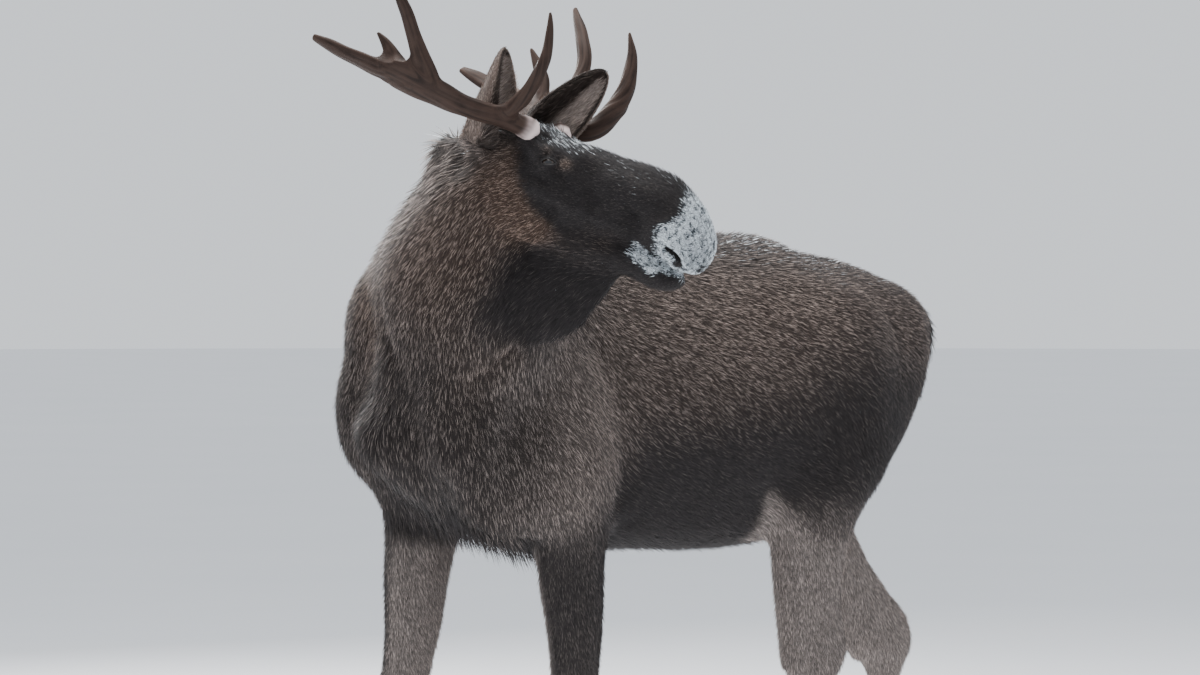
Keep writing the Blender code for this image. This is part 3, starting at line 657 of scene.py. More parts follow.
@dataclass(frozen=True)
class AntlerFinish:
    """Bare, stained antler: brown, paler where rubbed, with a light rim at the burr."""

    deep: Colour = (0.0125, 0.0074, 0.006)
    light: Colour = (0.053, 0.0325, 0.025)
    burr: Colour = (0.86, 0.7, 0.67)

    def material(self, name: str) -> bpy.types.Material:
        """The antler's material, from the grain and wear kept on the mesh."""
        surface = Surface(name, 0.6, Specular_IOR_Level=0.14)
        grain = surface.attribute("grain")
        worn, pale, tip = surface.attribute("wear").parts()
        streak = surface.noise(surface.vector("MULTIPLY", grain, (14.0, 150.0, 150.0)), 1.0, 4.0)
        cloud = surface.noise(grain, 22.0, 3.0)
        pore = surface.noise(surface.vector("MULTIPLY", grain, (90.0, 520.0, 520.0)), 1.0, 2.0)
        mixed = (streak * 0.75 + cloud * 0.55 - 0.22 + worn * 0.35).ramp(0.15, 0.85)
        colour = surface.mix(self.deep, self.light, mixed)
        colour = surface.mix(colour, (0.075, 0.045, 0.033), tip * 0.4)
        colour = surface.mix(colour, self.burr, pale * (streak + 0.65).ramp(0.3, 0.8))
        surface.set(Base_Color=colour, Roughness=streak * 0.25 + 0.48)
        surface.bump(streak * 0.7 + pore * 0.3, 0.0012)
        return surface.material


@dataclass(frozen=True)
class HoofFinish:
    """Dark horn with growth rings."""

    horn: Colour = (0.03, 0.024, 0.021)
    worn: Colour = (0.115, 0.095, 0.08)

    def material(self, name: str) -> bpy.types.Material:
        """The horn's material: rings across it, scuffs towards the ground."""
        surface = Surface(name, 0.42, Specular_IOR_Level=0.4)
        height = surface.where.parts()[2]
        wobble = surface.noise(surface.where, 38.0, 2.0)
        rings = (height * 900.0 + wobble * 7.0).math("SINE") * 0.5 + 0.5
        scuff = surface.noise(surface.where, 150.0, 4.0)
        low = 1.0 - height.ramp(0.0, 0.045)
        colour = surface.mix(self.horn, self.worn, rings * 0.18 + low * scuff.ramp(0.4, 0.75) * 0.6)
        surface.set(Base_Color=colour, Roughness=scuff * 0.35 + 0.28)
        surface.bump(rings * 0.5 + scuff * 0.5, 0.0012)
        return surface.material


@dataclass(frozen=True)
class EyeFinish:
    """A wet eye: dark brown with a wide pupil, and dark lids."""

    iris: Colour = (0.022, 0.013, 0.009)
    white: Colour = (0.018, 0.014, 0.013)
    lid: Colour = (0.012, 0.01, 0.01)

    def eyeball(self, name: str) -> bpy.types.Material:
        """The eyeball's material, from its gaze coordinates: across, up, outwards."""
        surface = Surface(name, 0.16, Coat_Roughness=0.1, Specular_IOR_Level=0.35)
        across, up, _ = surface.attribute("gaze").parts()
        rim = (across * across + up * up) ** 0.5
        pupil = ((across * 0.62) ** 2.0 + (up * 1.5) ** 2.0) ** 0.5
        fibre = surface.noise(surface.vector("NORMALIZE", surface.attribute("gaze")), 24.0, 3.0)
        colour = surface.mix(self.iris, (0.045, 0.027, 0.017), fibre.ramp(0.35, 0.75))
        colour = surface.mix(colour, (0.004, 0.004, 0.006), 1.0 - pupil.ramp(0.26, 0.34))
        colour = surface.mix(colour, self.white, rim.ramp(0.6, 0.72))
        surface.set(Base_Color=colour, Coat_Weight=0.55 - rim.ramp(0.8, 1.0) * 0.3)
        return surface.material

    def lids(self, name: str) -> bpy.types.Material:
        """The bare rim of the lids."""
        surface = Surface(name, 0.38, Specular_IOR_Level=0.45)
        grain = surface.noise(surface.where, 600.0, 2.0)
        surface.set(Base_Color=surface.mix(self.lid, (0.055, 0.04, 0.034), grain.ramp(0.5, 0.8)))
        surface.bump(grain, 0.0006)
        return surface.material


# ---- the body's masses
@dataclass(frozen=True)
class Torso:
    """Barrel, neck and the muscles over shoulders and haunches."""

    withers: float = 1.9
    floor: float = 0.93
    barrel: float = 0.325

    def trunk(self) -> Form:
        """From breast to buttock: Y, top, floor, half width and ridge of each ring."""
        top, low, half = self.withers, self.floor, self.barrel
        rings = []
        for y, high, floor, side, ridge in (
            (-0.87, 1.43, 1.29, 0.05, 0.0), (-0.825, 1.5, 1.17, 0.12, 0.0), (-0.75, 1.6, 1.08, 0.175, 0.05),
            (-0.64, 1.73, 0.995, 0.225, 0.2), (-0.5, 1.85, low + 0.015, 0.27, 0.4),
            (-0.36, top, low, 0.29, 0.52), (-0.2, top - 0.012, low, 0.31, 0.48),
            (0.0, 1.835, low, half, 0.38), (0.2, 1.81, low - 0.008, half + 0.005, 0.3),
            (0.4, 1.815, low + 0.01, half, 0.24), (0.6, 1.805, 1.015, 0.295, 0.22),
            (0.78, 1.768, 1.18, 0.225, 0.18), (0.88, 1.72, 1.29, 0.175, 0.1),
            (0.96, 1.655, 1.39, 0.12, 0.05), (1.01, 1.56, 1.46, 0.05, 0.0),
        ):
            middle = floor + 0.45 * (high - floor)
            rings.append(Ring(Vector((0, y, middle)), side, high - middle, middle - floor, ridge=ridge))
        return loft(rings, around=32)

    def neck(self) -> Form:
        """From inside the shoulders up, forwards and round to the left, into the back of the skull."""
        return hung((
            (0, -0.34, 1.42, 0.25, 0.34, 0.34, (-0.1, 0.55, 0.8)),
            (0.04, -0.52, 1.55, 0.275, 0.32, 0.33, (-0.3, 0.4, 0.8)),
            (0.15, -0.65, 1.7, 0.255, 0.295, 0.31, (-0.6, 0.05, 0.6), 0.15),
            (0.25, -0.68, 1.86, 0.18, 0.215, 0.235, (-0.8, -0.3, 0.5), 0.3),
            (0.32, -0.68, 1.97, 0.13, 0.175, 0.165, (-0.8, -0.4, 0.5), 0.3),
        ), around=24)

    def forms(self) -> list[Form]:
        """All masses of the trunk and neck."""
        made = [self.trunk(), self.neck(), ball((0.02, -0.695, 1.4), (0.17, 0.16, 0.22)),
                ball((-0.03, -0.665, 1.67), (0.15, 0.17, 0.19)),
                ball((0.2, -0.745, 2.02), (0.08, 0.08, 0.065))]
        for side in (LEFT, RIGHT):
            for out, y, z, radii, pitch, lean in (
                (0.18, -0.45, 1.42, (0.1, 0.2, 0.4), 14, -14),
                (0.2, -0.71, 1.32, (0.106, 0.13, 0.22), 8, -6),
                (0.18, -0.585, 1.14, (0.095, 0.155, 0.17), 32, 0),
                (0.17, -0.66, 1.5, (0.138, 0.162, 0.25), 18, -8),
                (0.225, -0.45, 1.19, (0.112, 0.19, 0.2), -14, 0),
                (0.165, 0.545, 1.4, (0.15, 0.235, 0.29), -10, -6),
            ):
                made.append(ball((side * out, y, z), radii, (pitch, side * lean, 0)))
        return made


@dataclass(frozen=True)
class Leg:
    """One leg: its joints from top to hoof, and its flesh along them."""

    name: str
    side: int
    joints: tuple[tuple[str, Triple], ...]
    flesh: tuple[tuple[str, float, float, float, float, float], ...]

    def joint(self, name: str) -> Vector:
        """Where a joint is."""
        return Vector(dict(self.joints)[name])

    def form(self) -> Form:
        """The flesh from inside the trunk to the coronet."""
        order = [name for name, _ in self.joints]
        rings = []
        for start, share, *sizes in self.flesh:
            forward, side, front, rear = (size / 1000 for size in sizes)
            here, there = self.joint(start), self.joint(order[order.index(start) + 1])
            at = here.lerp(there, share) + Vector((0, -forward, 0))
            rings.append(Ring(at, side, front, rear, (0, -1, 0.05)))
        return loft(rings)

    def middle(self, heights: Array) -> Array:
        """The leg's axis at heights: X and Y."""
        path = np.array([place for _, place in self.joints])[::-1]
        return np.stack([np.interp(heights, path[:, 2], path[:, k]) for k in (0, 1)], axis=1)


# Each row: a joint and how far towards the next, then in millimetres the offset to the front, half width, and
# reach to front and rear.
FORE_FLESH = (
    ("elbow", -0.45, 0, 105, 150, 160), ("elbow", 0, 0, 88, 125, 125), ("elbow", 0.25, 0, 70, 108, 105),
    ("elbow", 0.55, -5, 58, 88, 95), ("elbow", 0.82, -5, 53, 74, 80), ("knee", 0, -4, 54, 70, 68),
    ("knee", 0.15, 0, 48, 54, 56), ("knee", 0.35, 0, 36, 40, 46), ("knee", 0.75, 0, 34, 38, 46),
    ("fetlock", 0, 0, 43, 44, 56), ("fetlock", 0.55, 0, 41, 44, 46), ("fetlock", 1.15, 0, 50, 54, 50),
)
HIND_FLESH = (
    ("hip", 0, 40, 110, 170, 160), ("hip", 0.45, -10, 130, 210, 200), ("stifle", -0.05, -60, 115, 200, 190),
    ("stifle", 0.25, -25, 88, 150, 135), ("stifle", 0.55, 0, 68, 120, 112),
    ("stifle", 0.82, 10, 58, 106, 124), ("hock", 0, 5, 56, 104, 116), ("hock", 0.16, 0, 48, 58, 62),
    ("hock", 0.36, 0, 37, 43, 50), ("hock", 0.78, 0, 35, 40, 48), ("fetlock", 0, 0, 44, 46, 58),
    ("fetlock", 0.55, 0, 42, 45, 48), ("fetlock", 1.15, 0, 50, 54, 50),
)


def foreleg(name: str, side: int, elbow_y: float, knee_y: float, hoof_y: float) -> Leg:
    """A foreleg from where its joints stand along the body."""
    return Leg(name, side, (
        ("elbow", (side * 0.185, elbow_y, 1.02)), ("knee", (side * 0.175, knee_y, 0.555)),
        ("fetlock", (side * 0.172, hoof_y + 0.045, 0.185)), ("hoof", (side * 0.172, hoof_y, HOOF_HEIGHT)),
    ), FORE_FLESH)


def hind_leg(name: str, side: int, stifle_y: float, hock_y: float, hock_z: float, hoof_y: float) -> Leg:
    """A hind leg from where its joints stand along the body."""
    return Leg(name, side, (
        ("hip", (side * 0.155, 0.67, 1.44)), ("stifle", (side * 0.205, stifle_y, 1.1)),
        ("hock", (side * 0.172, hock_y, hock_z)), ("fetlock", (side * 0.165, hoof_y + 0.05, 0.195)),
        ("hoof", (side * 0.165, hoof_y, HOOF_HEIGHT)),
    ), HIND_FLESH)


FORELEGS = (foreleg("front_left", LEFT, -0.35, -0.335, -0.355),
            foreleg("front_right", RIGHT, -0.575, -0.655, -0.69))
HIND_LEGS = (hind_leg("hind_left", LEFT, 0.42, 0.49, 0.61, 0.43),
             hind_leg("hind_right", RIGHT, 0.66, 1.02, 0.6, 0.97))
LEGS = FORELEGS + HIND_LEGS


@dataclass(frozen=True)
class Skull:
    """The masses of the head, in its own frame."""

    middle: float = 0.012

    # Cheek, brow, nostril wing and ear root: forward, aside, up, half sizes and pitch in degrees.
    LUMPS = (
        (0.165, 0.062, -0.055, (0.115, 0.05, 0.085), 12), (0.165, 0.082, 0.092, (0.062, 0.034, 0.03), 8),
        (0.606, 0.05, -0.028, (0.05, 0.034, 0.044), 35), (-0.02, 0.085, 0.068, (0.05, 0.042, 0.055), 0),
    )
    # The antler's stalk: forward, aside, up and half thickness.
    STALK = ((0.125, 0.045, 0.105, 0.04), (0.118, 0.08, 0.126, 0.034), (0.114, 0.099, 0.134, 0.031))

    @staticmethod
    def rings(rows: Sequence[Sequence[float]], middle: float | None = None) -> list[Ring]:
        """Rings across the head from rows of forward, top, floor and half width in millimetres, and ridge."""
        made = []
        for *sizes, ridge in ((*row, 0)[:5] for row in rows):
            forward, top, floor, side = (size / 1000 for size in sizes)
            level = (top + floor) / 2 if middle is None else middle
            made.append(Ring(on_head(forward, 0, level), side, top - level, level - floor,
                             head_way(0, 0, 1), ridge))
        return made

    def forms(self) -> list[Form]:
        """Brain case, nose, jaw, cheeks, brows, nostril wings, ear roots and antler stalks."""
        made = [
            loft(self.rings((
                (-45, 80, -50, 55), (-10, 130, -85, 88), (60, 156, -105, 105, 0.1),
                (160, 152, -110, 112, 0.2), (260, 148, -105, 102, 0.2), (360, 148, -85, 83, 0.2),
                (450, 153, -66, 77, 0.15), (520, 146, -70, 79, 0.1), (575, 120, -76, 80),
                (622, 86, -82, 74), (654, 42, -78, 58), (673, 0, -58, 34),
            ), self.middle), around=28),
            loft(self.rings((
                (70, -10, -120, 60), (140, -10, -150, 78), (240, -30, -158, 74), (340, -50, -156, 60),
                (430, -60, -146, 50), (500, -62, -145, 52), (550, -70, -150, 55), (592, -80, -140, 50),
                (624, -88, -117, 30),
            ))),
            ball((0.59, 0, 0.0), (0.078, 0.08, 0.08), (0, 25, 0), HEAD),
        ]
        for side in (LEFT, RIGHT):
            for f, l, u, radii, pitch in self.LUMPS:
                made.append(ball((f, side * l, u), radii, (0, pitch, 0), HEAD))
            made.append(loft([Ring(on_head(f, side * l, u), r + 0.002, r, r, head_way(0, 0, 1))
                              for f, l, u, r in self.STALK]))
        return made


@dataclass(frozen=True)
class Hangings:
    """The bell under the throat and the tail."""

    def forms(self) -> list[Form]:
        """Bell and tail as they hang."""
        out = (0.8, 0.45, 0.1)
        bell = hung((
            (0.4, -0.61, 1.78, 0.036, 0.1, 0.07, out), (0.425, -0.63, 1.68, 0.034, 0.09, 0.07, out),
            (0.432, -0.655, 1.59, 0.027, 0.062, 0.055, out), (0.43, -0.675, 1.5, 0.01, 0.02, 0.02, out),
        ))
        tail = hung((
            (0, 0.95, 1.6, 0.034, 0.03, 0.034, (0, 0.5, 0.8)),
            (0, 1.0, 1.572, 0.04, 0.03, 0.04, (0, 0.7, 0.7)),
            (0, 1.022, 1.52, 0.042, 0.03, 0.04, (0, 0.95, 0.3)),
            (0, 1.026, 1.46, 0.032, 0.022, 0.03, (0, 1, 0)),
            (0, 1.018, 1.415, 0.01, 0.009, 0.01, (0, 1, 0)),
        ))
        flap = []
        for forward, floor, side in ((0.44, -0.148, 0.02), (0.4, -0.228, 0.028), (0.355, -0.296, 0.034),
                                     (0.325, -0.344, 0.038), (0.29, -0.378, 0.042), (0.24, -0.394, 0.045),
                                     (0.19, -0.392, 0.045), (0.15, -0.345, 0.04)):
            half = (-0.11 - floor) / 2
            flap.append(Ring(on_head(forward, 0, -0.11 - half), side, half, half, head_way(0, 0, 1)))
        return [bell, tail, loft(flap)]


# ---- how the coat grows
@dataclass(frozen=True)
class Zone:
    """How hair grows near a line on the body."""

    start: Vector
    end: Vector
    reach: float
    way: Vector
    depth: float
    length: float
    dark: float
    warm: float = 0.0
    pale: float = 0.0
    frost: float = 0.0


# Zones of the coat: both ends, reach, way, depth, length, dark, warm, pale and frost, without last zeros.
# The head's are in its own frame.
HEAD_ZONES = (
    ((0.63, 0, 0.06), (0.66, 0, -0.05), 0.045, (-1, 0, 0.2), 0.003, 0.008, 0.4),
    ((0.58, 0.06, 0), (0.61, 0.05, -0.05), 0.035, (-1, 0, 0.1), 0.003, 0.008, 0.4),
    ((0.3, 0, 0.145), (0.56, 0, 0.14), 0.05, (-1, 0, -0.15), 0.006, 0.016, 0.85, 0, 0, 0.11),
    ((0.28, 0.09, 0.02), (0.52, 0.07, 0.02), 0.055, (-1, 0, -0.25), 0.004, 0.012, 0.95),
    ((0.19, 0.1, 0.067), (0.22, 0.1, 0.067), 0.03, (-1, 0, -0.25), 0.003, 0.008, 0.85, 0.1),
    ((0.235, 0.096, 0.085), (0.255, 0.09, 0.078), 0.014, (-1, 0, -0.35), 0.003, 0.01, 0.2, 0.5, 0.5),
    ((0.08, 0, 0.155), (0.22, 0, 0.15), 0.045, (-1, 0, 0.05), 0.009, 0.026, 0.7, 0, 0.1, 0.5),
    ((0.1, 0.09, -0.04), (0.2, 0.08, -0.09), 0.06, (-0.8, 0, -0.6), 0.007, 0.02, 0.05, 0.75, 0.1),
    ((0.26, 0, -0.15), (0.5, 0, -0.13), 0.045, (-1, 0, 0), 0.006, 0.02, 0.8, 0.1),
    ((0.54, 0, -0.13), (0.58, 0, -0.11), 0.035, (-0.6, 0, -0.7), 0.004, 0.014, 0.8),
    ((0.22, 0, -0.22), (0.4, 0, -0.2), 0.06, (-0.5, 0, -1), 0.01, 0.028, 1),
    ((0.2, 0, -0.34), (0.31, 0, -0.33), 0.06, (-0.4, 0, -1), 0.01, 0.036, 1),
    ((-0.02, 0.085, 0.07), (-0.03, 0.09, 0.05), 0.045, (-0.8, 0.4, -0.3), 0.008, 0.026, 0.2, 0.2, 0.35),
    ((-0.03, 0, 0.12), (0.03, 0, 0.145), 0.05, (-1, 0, 0.1), 0.012, 0.036, 0.5, 0, 0.1, 0.3),
)
# The turned neck's, as it lies.
NECK_ZONES = (
    ((0.26, -0.78, 1.98), (0.06, -0.8, 1.8), 0.07, (-0.5, -0.2, -0.8), 0.02, 0.056, 0.2, 0, 0.2, 0.14),
    ((0.22, -0.72, 1.98), (0, -0.56, 1.88), 0.07, (-0.7, 0.5, -0.5), 0.022, 0.06, 0.25, 0, 0.18, 0.22),
    ((0.33, -0.83, 1.86), (0.22, -0.9, 1.7), 0.11, (-0.4, -0.1, -0.9), 0.01, 0.028, 0.24, 0.42, 0.02),
    ((0.15, -0.93, 1.66), (0.05, -0.9, 1.52), 0.12, (-0.25, 0.05, -1), 0.01, 0.027, 0.36, 0.18, 0.02),
    # A narrow warm, pale strip along the ridge of the neck's fold: painted rim light.
    ((-0.09, -0.79, 1.64), (-0.02, -0.81, 1.47), 0.035, (-0.1, 0.05, -1), 0.01, 0.028, 0, 0.8, 0.2),
    ((0.3, -0.45, 1.8), (0.22, -0.4, 1.6), 0.11, (-0.35, 0.3, -0.9), 0.01, 0.03, 0.4, 0.1, 0.05),
    ((0.38, -0.68, 1.5), (0.27, -0.76, 1.42), 0.06, (-0.1, 0.1, -1), 0.01, 0.028, 0.25, 0.25, 0.1),
)
# The trunk's left side.
TRUNK_ZONES = (
    ((0, -0.5, 1.86), (0, -0.15, 1.88), 0.09, (0, 1, -0.25), 0.014, 0.036, 0.45, 0, 0.04, 0.1),
    ((0, 0, 1.84), (0, 0.6, 1.8), 0.13, (0, 1, -0.25), 0.01, 0.028, 0.55, 0.1, 0, 0.17),
    ((0.26, -0.1, 1.62), (0.28, 0.5, 1.6), 0.14, (0, 1, -0.85), 0.009, 0.025, 0.14, 0.3, 0.04),
    ((0.3, -0.12, 1.42), (0.3, 0.2, 1.42), 0.13, (0, 1, -0.9), 0.009, 0.025, 0.24, 0.2, 0.02),
    ((0.27, -0.12, 1.11), (0.29, 0.4, 1.16), 0.115, (0, 1, -0.45), 0.009, 0.026, 0.95),
    ((0, -0.25, 0.95), (0, 0.4, 0.95), 0.12, (0, 1, -0.12), 0.012, 0.036, 1.1),
    ((0, 0.7, 1.78), (0, 0.97, 1.6), 0.1, (0, 0.9, -0.45), 0.009, 0.025, 0.5, 0.1, 0, 0.12),
    ((0.25, 0.55, 1.6), (0.15, 0.85, 1.55), 0.11, (0, 0.8, -0.65), 0.008, 0.024, 0.36, 0.25, 0.02),
    ((0.295, 0.34, 1.33), (0.28, 0.58, 1.38), 0.095, (0, 0.7, -0.8), 0.008, 0.024, 0.74, 0.05),
    ((0.29, 0.5, 1.25), (0.24, 0.76, 1.25), 0.13, (0, 0.4, -0.9), 0.008, 0.022, 0.82),
    ((0.06, 0.95, 1.35), (0.1, 0.86, 1.12), 0.06, (0, 0.1, -1), 0.008, 0.028, 0.3, 0.45, 0.35),
    ((0, 1.02, 1.56), (0, 1.02, 1.44), 0.05, (0, 0.2, -1), 0.008, 0.045, 1),
    ((0.27, -0.4, 1.46), (0.29, -0.38, 1.2), 0.115, (0, 0.45, -1), 0.009, 0.026, 0.08, 0.14, 0.38),
    ((0.27, -0.6, 1.42), (0.28, -0.6, 1.22), 0.1, (0, 0.25, -1), 0.009, 0.028, 0.32, 0, 0.08),
    ((0.2, -0.8, 1.4), (0.22, -0.76, 1.2), 0.11, (0, 0.1, -1), 0.01, 0.028, 0.5, 0.05, 0.02),
    ((0, -0.86, 1.45), (0, -0.74, 1.1), 0.09, (0, 0.15, -1), 0.013, 0.038, 0.62),
    ((0, -0.66, 1.01), (0, -0.38, 0.94), 0.1, (0, 0.4, -1), 0.016, 0.075, 0.95),
)


def head_zones() -> list[Zone]:
    """Zones of the head, on both sides."""
    made = []
    for start, end, reach, way, *rest in HEAD_ZONES:
        for side in (LEFT, RIGHT) if start[1] else (LEFT,):
            ends = [on_head(f, side * l, u) for f, l, u in (start, end)]
            made.append(Zone(*ends, reach, head_way(way[0], side * way[1], way[2]), *rest))
    return made


def body_zones() -> list[Zone]:
    """Zones of neck and trunk, the trunk's on both sides."""
    made = [Zone(Vector(start), Vector(end), reach, Vector(way), *rest)
            for start, end, reach, way, *rest in NECK_ZONES]
    for start, end, reach, way, *rest in TRUNK_ZONES:
        for side in (LEFT, RIGHT) if start[0] else (LEFT,):
            ends = [Vector((side * x, y, z)) for x, y, z in (start, end)]
            made.append(Zone(*ends, reach, Vector(way), *rest))
    return made


def leg_zones() -> list[Zone]:
    """Zones along each leg, from the joints."""
    made = []
    for leg in LEGS:
        fore = leg in FORELEGS
        upper, knee = ("elbow", "knee") if fore else ("stifle", "hock")
        fetlock, hoof = leg.joint("fetlock"), leg.joint("hoof")
        start, bend = leg.joint(upper).lerp(leg.joint(knee), 0.2), leg.joint(knee)
        for first, last, reach, way, *rest in (
            (start, bend, 0.085, (0, 0.15, -1), 0.007, 0.021, 0.78 if fore else 0.03, 0.02, 0.55),
            (bend, bend.lerp(fetlock, 0.3), 0.05, (0, 0, -1), 0.005, 0.015, 0.12, 0, 0.75),
            (bend.lerp(fetlock, 0.35), fetlock, 0.04, (0, 0, -1), 0.004, 0.013, 0.05, 0, 0.85),
            (fetlock, hoof, 0.03, (0, -0.2, -1), 0.004, 0.016, 0.3, 0.05, 0.4),
        ):
            made.append(Zone(first, last, reach, Vector(way), *rest))
    return made


class Markings:
    """Blends the zones over the body, and adds the borders that are sharper than a zone."""

    MUZZLE_EDGE = ((-0.09, 0.552), (-0.029, 0.549), (0.011, 0.548), (0.038, 0.58), (0.059, 0.594),
                   (0.086, 0.584), (0.13, 0.565))
    MASK_EDGE = ((-0.16, 0.46), (-0.126, 0.4), (-0.119, 0.341), (-0.045, 0.201), (0.027, 0.133),
                 (0.16, 0.075))
    CHIN_TUFT = ((0.472, -0.064), (0.515, -0.078), (0.552, -0.09))
    # Head place, radius, then dark, warm, pale and frost.
    FACE_SPOTS = (
        ((0.248, 0.086, 0.08), 0.019, 0.05, 0.55, 0.22, 0.0),
        ((0.19, 0.098, 0.098), 0.016, 0.45, 0.3, 0.12, 0.0),
        ((0.43, 0.062, 0.075), 0.055, 0.76, 0.12, 0.04, 0.05),
        ((0.3, 0.066, 0.11), 0.03, 0.7, 0.12, 0.05, 0.04),
        ((0.4, 0.05, -0.08), 0.045, 0.7, 0.35, 0.04, 0.0),
        ((0.225, 0.092, 0.0), 0.03, 0.9, 0.2, 0.0, 0.0),
        ((0.34, 0.05, -0.11), 0.05, 0.72, 0.3, 0.03, 0.0),
    )

    def __init__(self) -> None:
        """Gathers the zones as arrays."""
        zones = head_zones() + body_zones() + leg_zones()
        self.start = np.array([z.start for z in zones])
        self.span = np.array([z.end for z in zones]) - self.start
        self.reach = np.array([z.reach for z in zones])
        self.ways = unit(np.array([z.way for z in zones]))
        self.rows = np.array([(z.depth, z.length, z.dark, z.warm, z.pale, z.frost) for z in zones])

    def shares(self, points: Array) -> Array:
        """How much each zone rules each point; each row adds up to one."""
        shares = np.empty((len(points), len(self.reach)))
        for i, (start, span, reach) in enumerate(zip(self.start, self.span, self.reach)):
            t = np.clip((points - start) @ span / (span @ span), 0, 1)
            far = np.linalg.norm(points - start - t[:, None] * span, axis=1)
            shares[:, i] = (1 + (far / reach) ** 2) ** -4.0
        return shares / shares.sum(1, keepdims=True)

    def read(self, points: Array) -> tuple[Array, Array]:
        """The lie of the hair at points, and rows of depth, length, dark, warm, pale and frost."""
        shares = self.shares(points)
        return unit(shares @ self.ways), shares @ self.rows

    def sharpen(self, rows: Array, points: Array, outwards: Array) -> None:
        """Adds the markings whose borders are sharper than a zone's."""
        self.mark_legs(rows, points, outwards)
        self.mark_head(rows, in_head(points), outwards)

    @staticmethod
    def mark_legs(rows: Array, points: Array, outwards: Array) -> None:
        """Pale stockings up to the stifle, and paler inner sides of all legs."""
        x, y, z = points.T
        stocking = np.zeros(len(points))
        for leg in HIND_LEGS:
            border = np.maximum(0.977 - 0.9 * (y - leg.joint("stifle").y), 0.97)
            own = ramp(y - leg.middle(z)[:, 1], -0.185, -0.15) * ramp(leg.side * x, 0.05, 0.1)
            stocking = np.maximum(stocking, ramp(border - z, -0.035, 0.05) * own)
        inner = ramp(-outwards[:, 0] * np.sign(x), -0.3, 0.6) * ramp(-z, -1.03, -0.95)
        rows[:, 2] *= (1 - stocking) * (1 - 0.8 * inner)
        rows[:, 4] = np.maximum(rows[:, 4], 0.74 * stocking) * (1 - 0.2 * inner) + 0.4 * inner

    def mark_head(self, rows: Array, head: Array, outwards: Array) -> None:
        """The dark mask from the eye forward, and the frost on crown, muzzle and chin.

        Args:
            rows: Depth, length, dark, warm, pale and frost of each point, changed in place.
            head: The points as head places.
            outwards: Their normals.
        """
        forward, across, up = head[:, 0], np.abs(head[:, 1]), head[:, 2]
        near = ramp(-across, -0.22, -0.16) * ramp(up, -0.3, -0.22) * ramp(forward, -0.05, 0.02)
        near *= ramp(-np.abs(up), -0.3, -0.2)
        muzzle = forward - np.interp(up, *zip(*self.MUZZLE_EDGE))
        mask = forward - np.interp(up, *zip(*self.MASK_EDGE))
        rows[:, 5] *= ramp(outwards[:, 2], 0.45, 0.98)
        frost = near * ramp(muzzle, -0.02, 0.014) * ramp(up, -0.105, -0.085)
        far, _ = to_polyline(head[:, [0, 2]], self.CHIN_TUFT)
        frost = np.maximum(frost, near * ramp(-far, -0.028, -0.012) * ramp(forward, 0.462, 0.49))
        frost *= 1 - ramp(-Skin.from_slit(head)[0], -0.0095, -0.0055)
        bare = np.linalg.norm(folded(head) - (0.662, 0.012, -0.052), axis=1)
        frost *= 1 - 0.8 * bell_curve(bare, 0.014)
        rows[:, 5] = np.maximum(rows[:, 5], frost)
        rows[:, 1] *= 1 - 0.45 * frost
        masked = near * ramp(mask, -0.025, 0.025)
        rows[:, 2] = rows[:, 2] * (1 - masked) + np.maximum(rows[:, 2], 0.9) * masked
        rows[:, 3] *= 1 - 0.8 * masked
        rows[:, 4] *= 1 - 0.5 * masked
        both = folded(head)
        for place, radius, *marks in self.FACE_SPOTS:
            share = bell_curve(np.linalg.norm(both - place, axis=1), radius)[:, None]
            share *= 1 - ramp(frost, 0.1, 0.4)[:, None]
            rows[:, 2:] += (marks - rows[:, 2:]) * share


# ---- forms worked into the skin
# Rows in millimetres: height of a ridge or, below zero, of a groove, its width, and the places on its line.
# On the head, in its own frame, on both sides.
HEAD_STROKES = (
    (11, 14, (150, 50, 131), (190, 64, 126), (220, 70, 114), (240, 78, 96), (250, 84, 74)),
    (-6, 10, (165, 88, 108), (200, 92, 104), (228, 92, 90)),
    (5, 8, (178, 100, 94), (204, 102, 92), (226, 98, 82)),
    (-7, 18, (165, 30, 150), (240, 30, 150)),
    (-9, 9, (242, 94, 56), (262, 88, 38), (296, 83, 18)),
    (-7, 14, (170, 104, 26), (215, 104, 26)),
    (11, 16, (190, 104, -4), (270, 98, -12), (360, 86, -20), (430, 78, -24)),
    (-14, 24, (300, 70, 92), (332, 77, 56), (360, 78, 10)),
    (10, 36, (390, 60, 85), (490, 64, 78)),
    (-16, 22, (474, 74, 18), (486, 74, -12), (486, 70, -38)),
    (7, 20, (560, 76, 15), (600, 70, 0)),
    (-10, 14, (258, 86, -36), (258, 78, -80), (240, 68, -120)),
    (9, 18, (120, 85, -100), (200, 78, -125), (300, 60, -140)),
    (-10, 12, (380, 66, -56), (455, 62, -62)),
    (-8, 20, (118, 98, 75), (140, 100, 50)),
)
# On the trunk, on both sides.
BODY_STROKES = (
    (-21, 26, (256, -318, 1500), (276, -272, 1364), (280, -243, 1265), (262, -230, 1168), (231, -225, 1094)),
    (18, 55, (270, -400, 1440), (290, -350, 1300), (270, -330, 1180)),
    (-9, 36, (250, -620, 1450), (280, -560, 1300), (260, -540, 1150)),
    (8, 60, (200, -780, 1380), (210, -760, 1220)),
    (-12, 32, (275, 280, 1240), (262, 255, 1100), (240, 280, 1020)),
    (10, 100, (300, 550, 1350), (270, 500, 1100)),
    (8, 45, (200, 500, 1720), (230, 540, 1660)),
    (-12, 70, (290, 250, 1620), (300, 300, 1460)),
)
# On the turned neck, as it lies.
NECK_STROKES = (
    (15, 18, (406, -676, 1545), (343, -705, 1498), (280, -746, 1450), (251, -777, 1403)),
    (-20, 24, (392, -665, 1500), (325, -700, 1452), (265, -745, 1405), (240, -775, 1360)),
    (10, 30, (-20, -800, 1700), (-40, -800, 1540), (20, -826, 1450)),
    (-9, 26, (40, -850, 1640), (35, -850, 1540), (85, -850, 1440)),
)


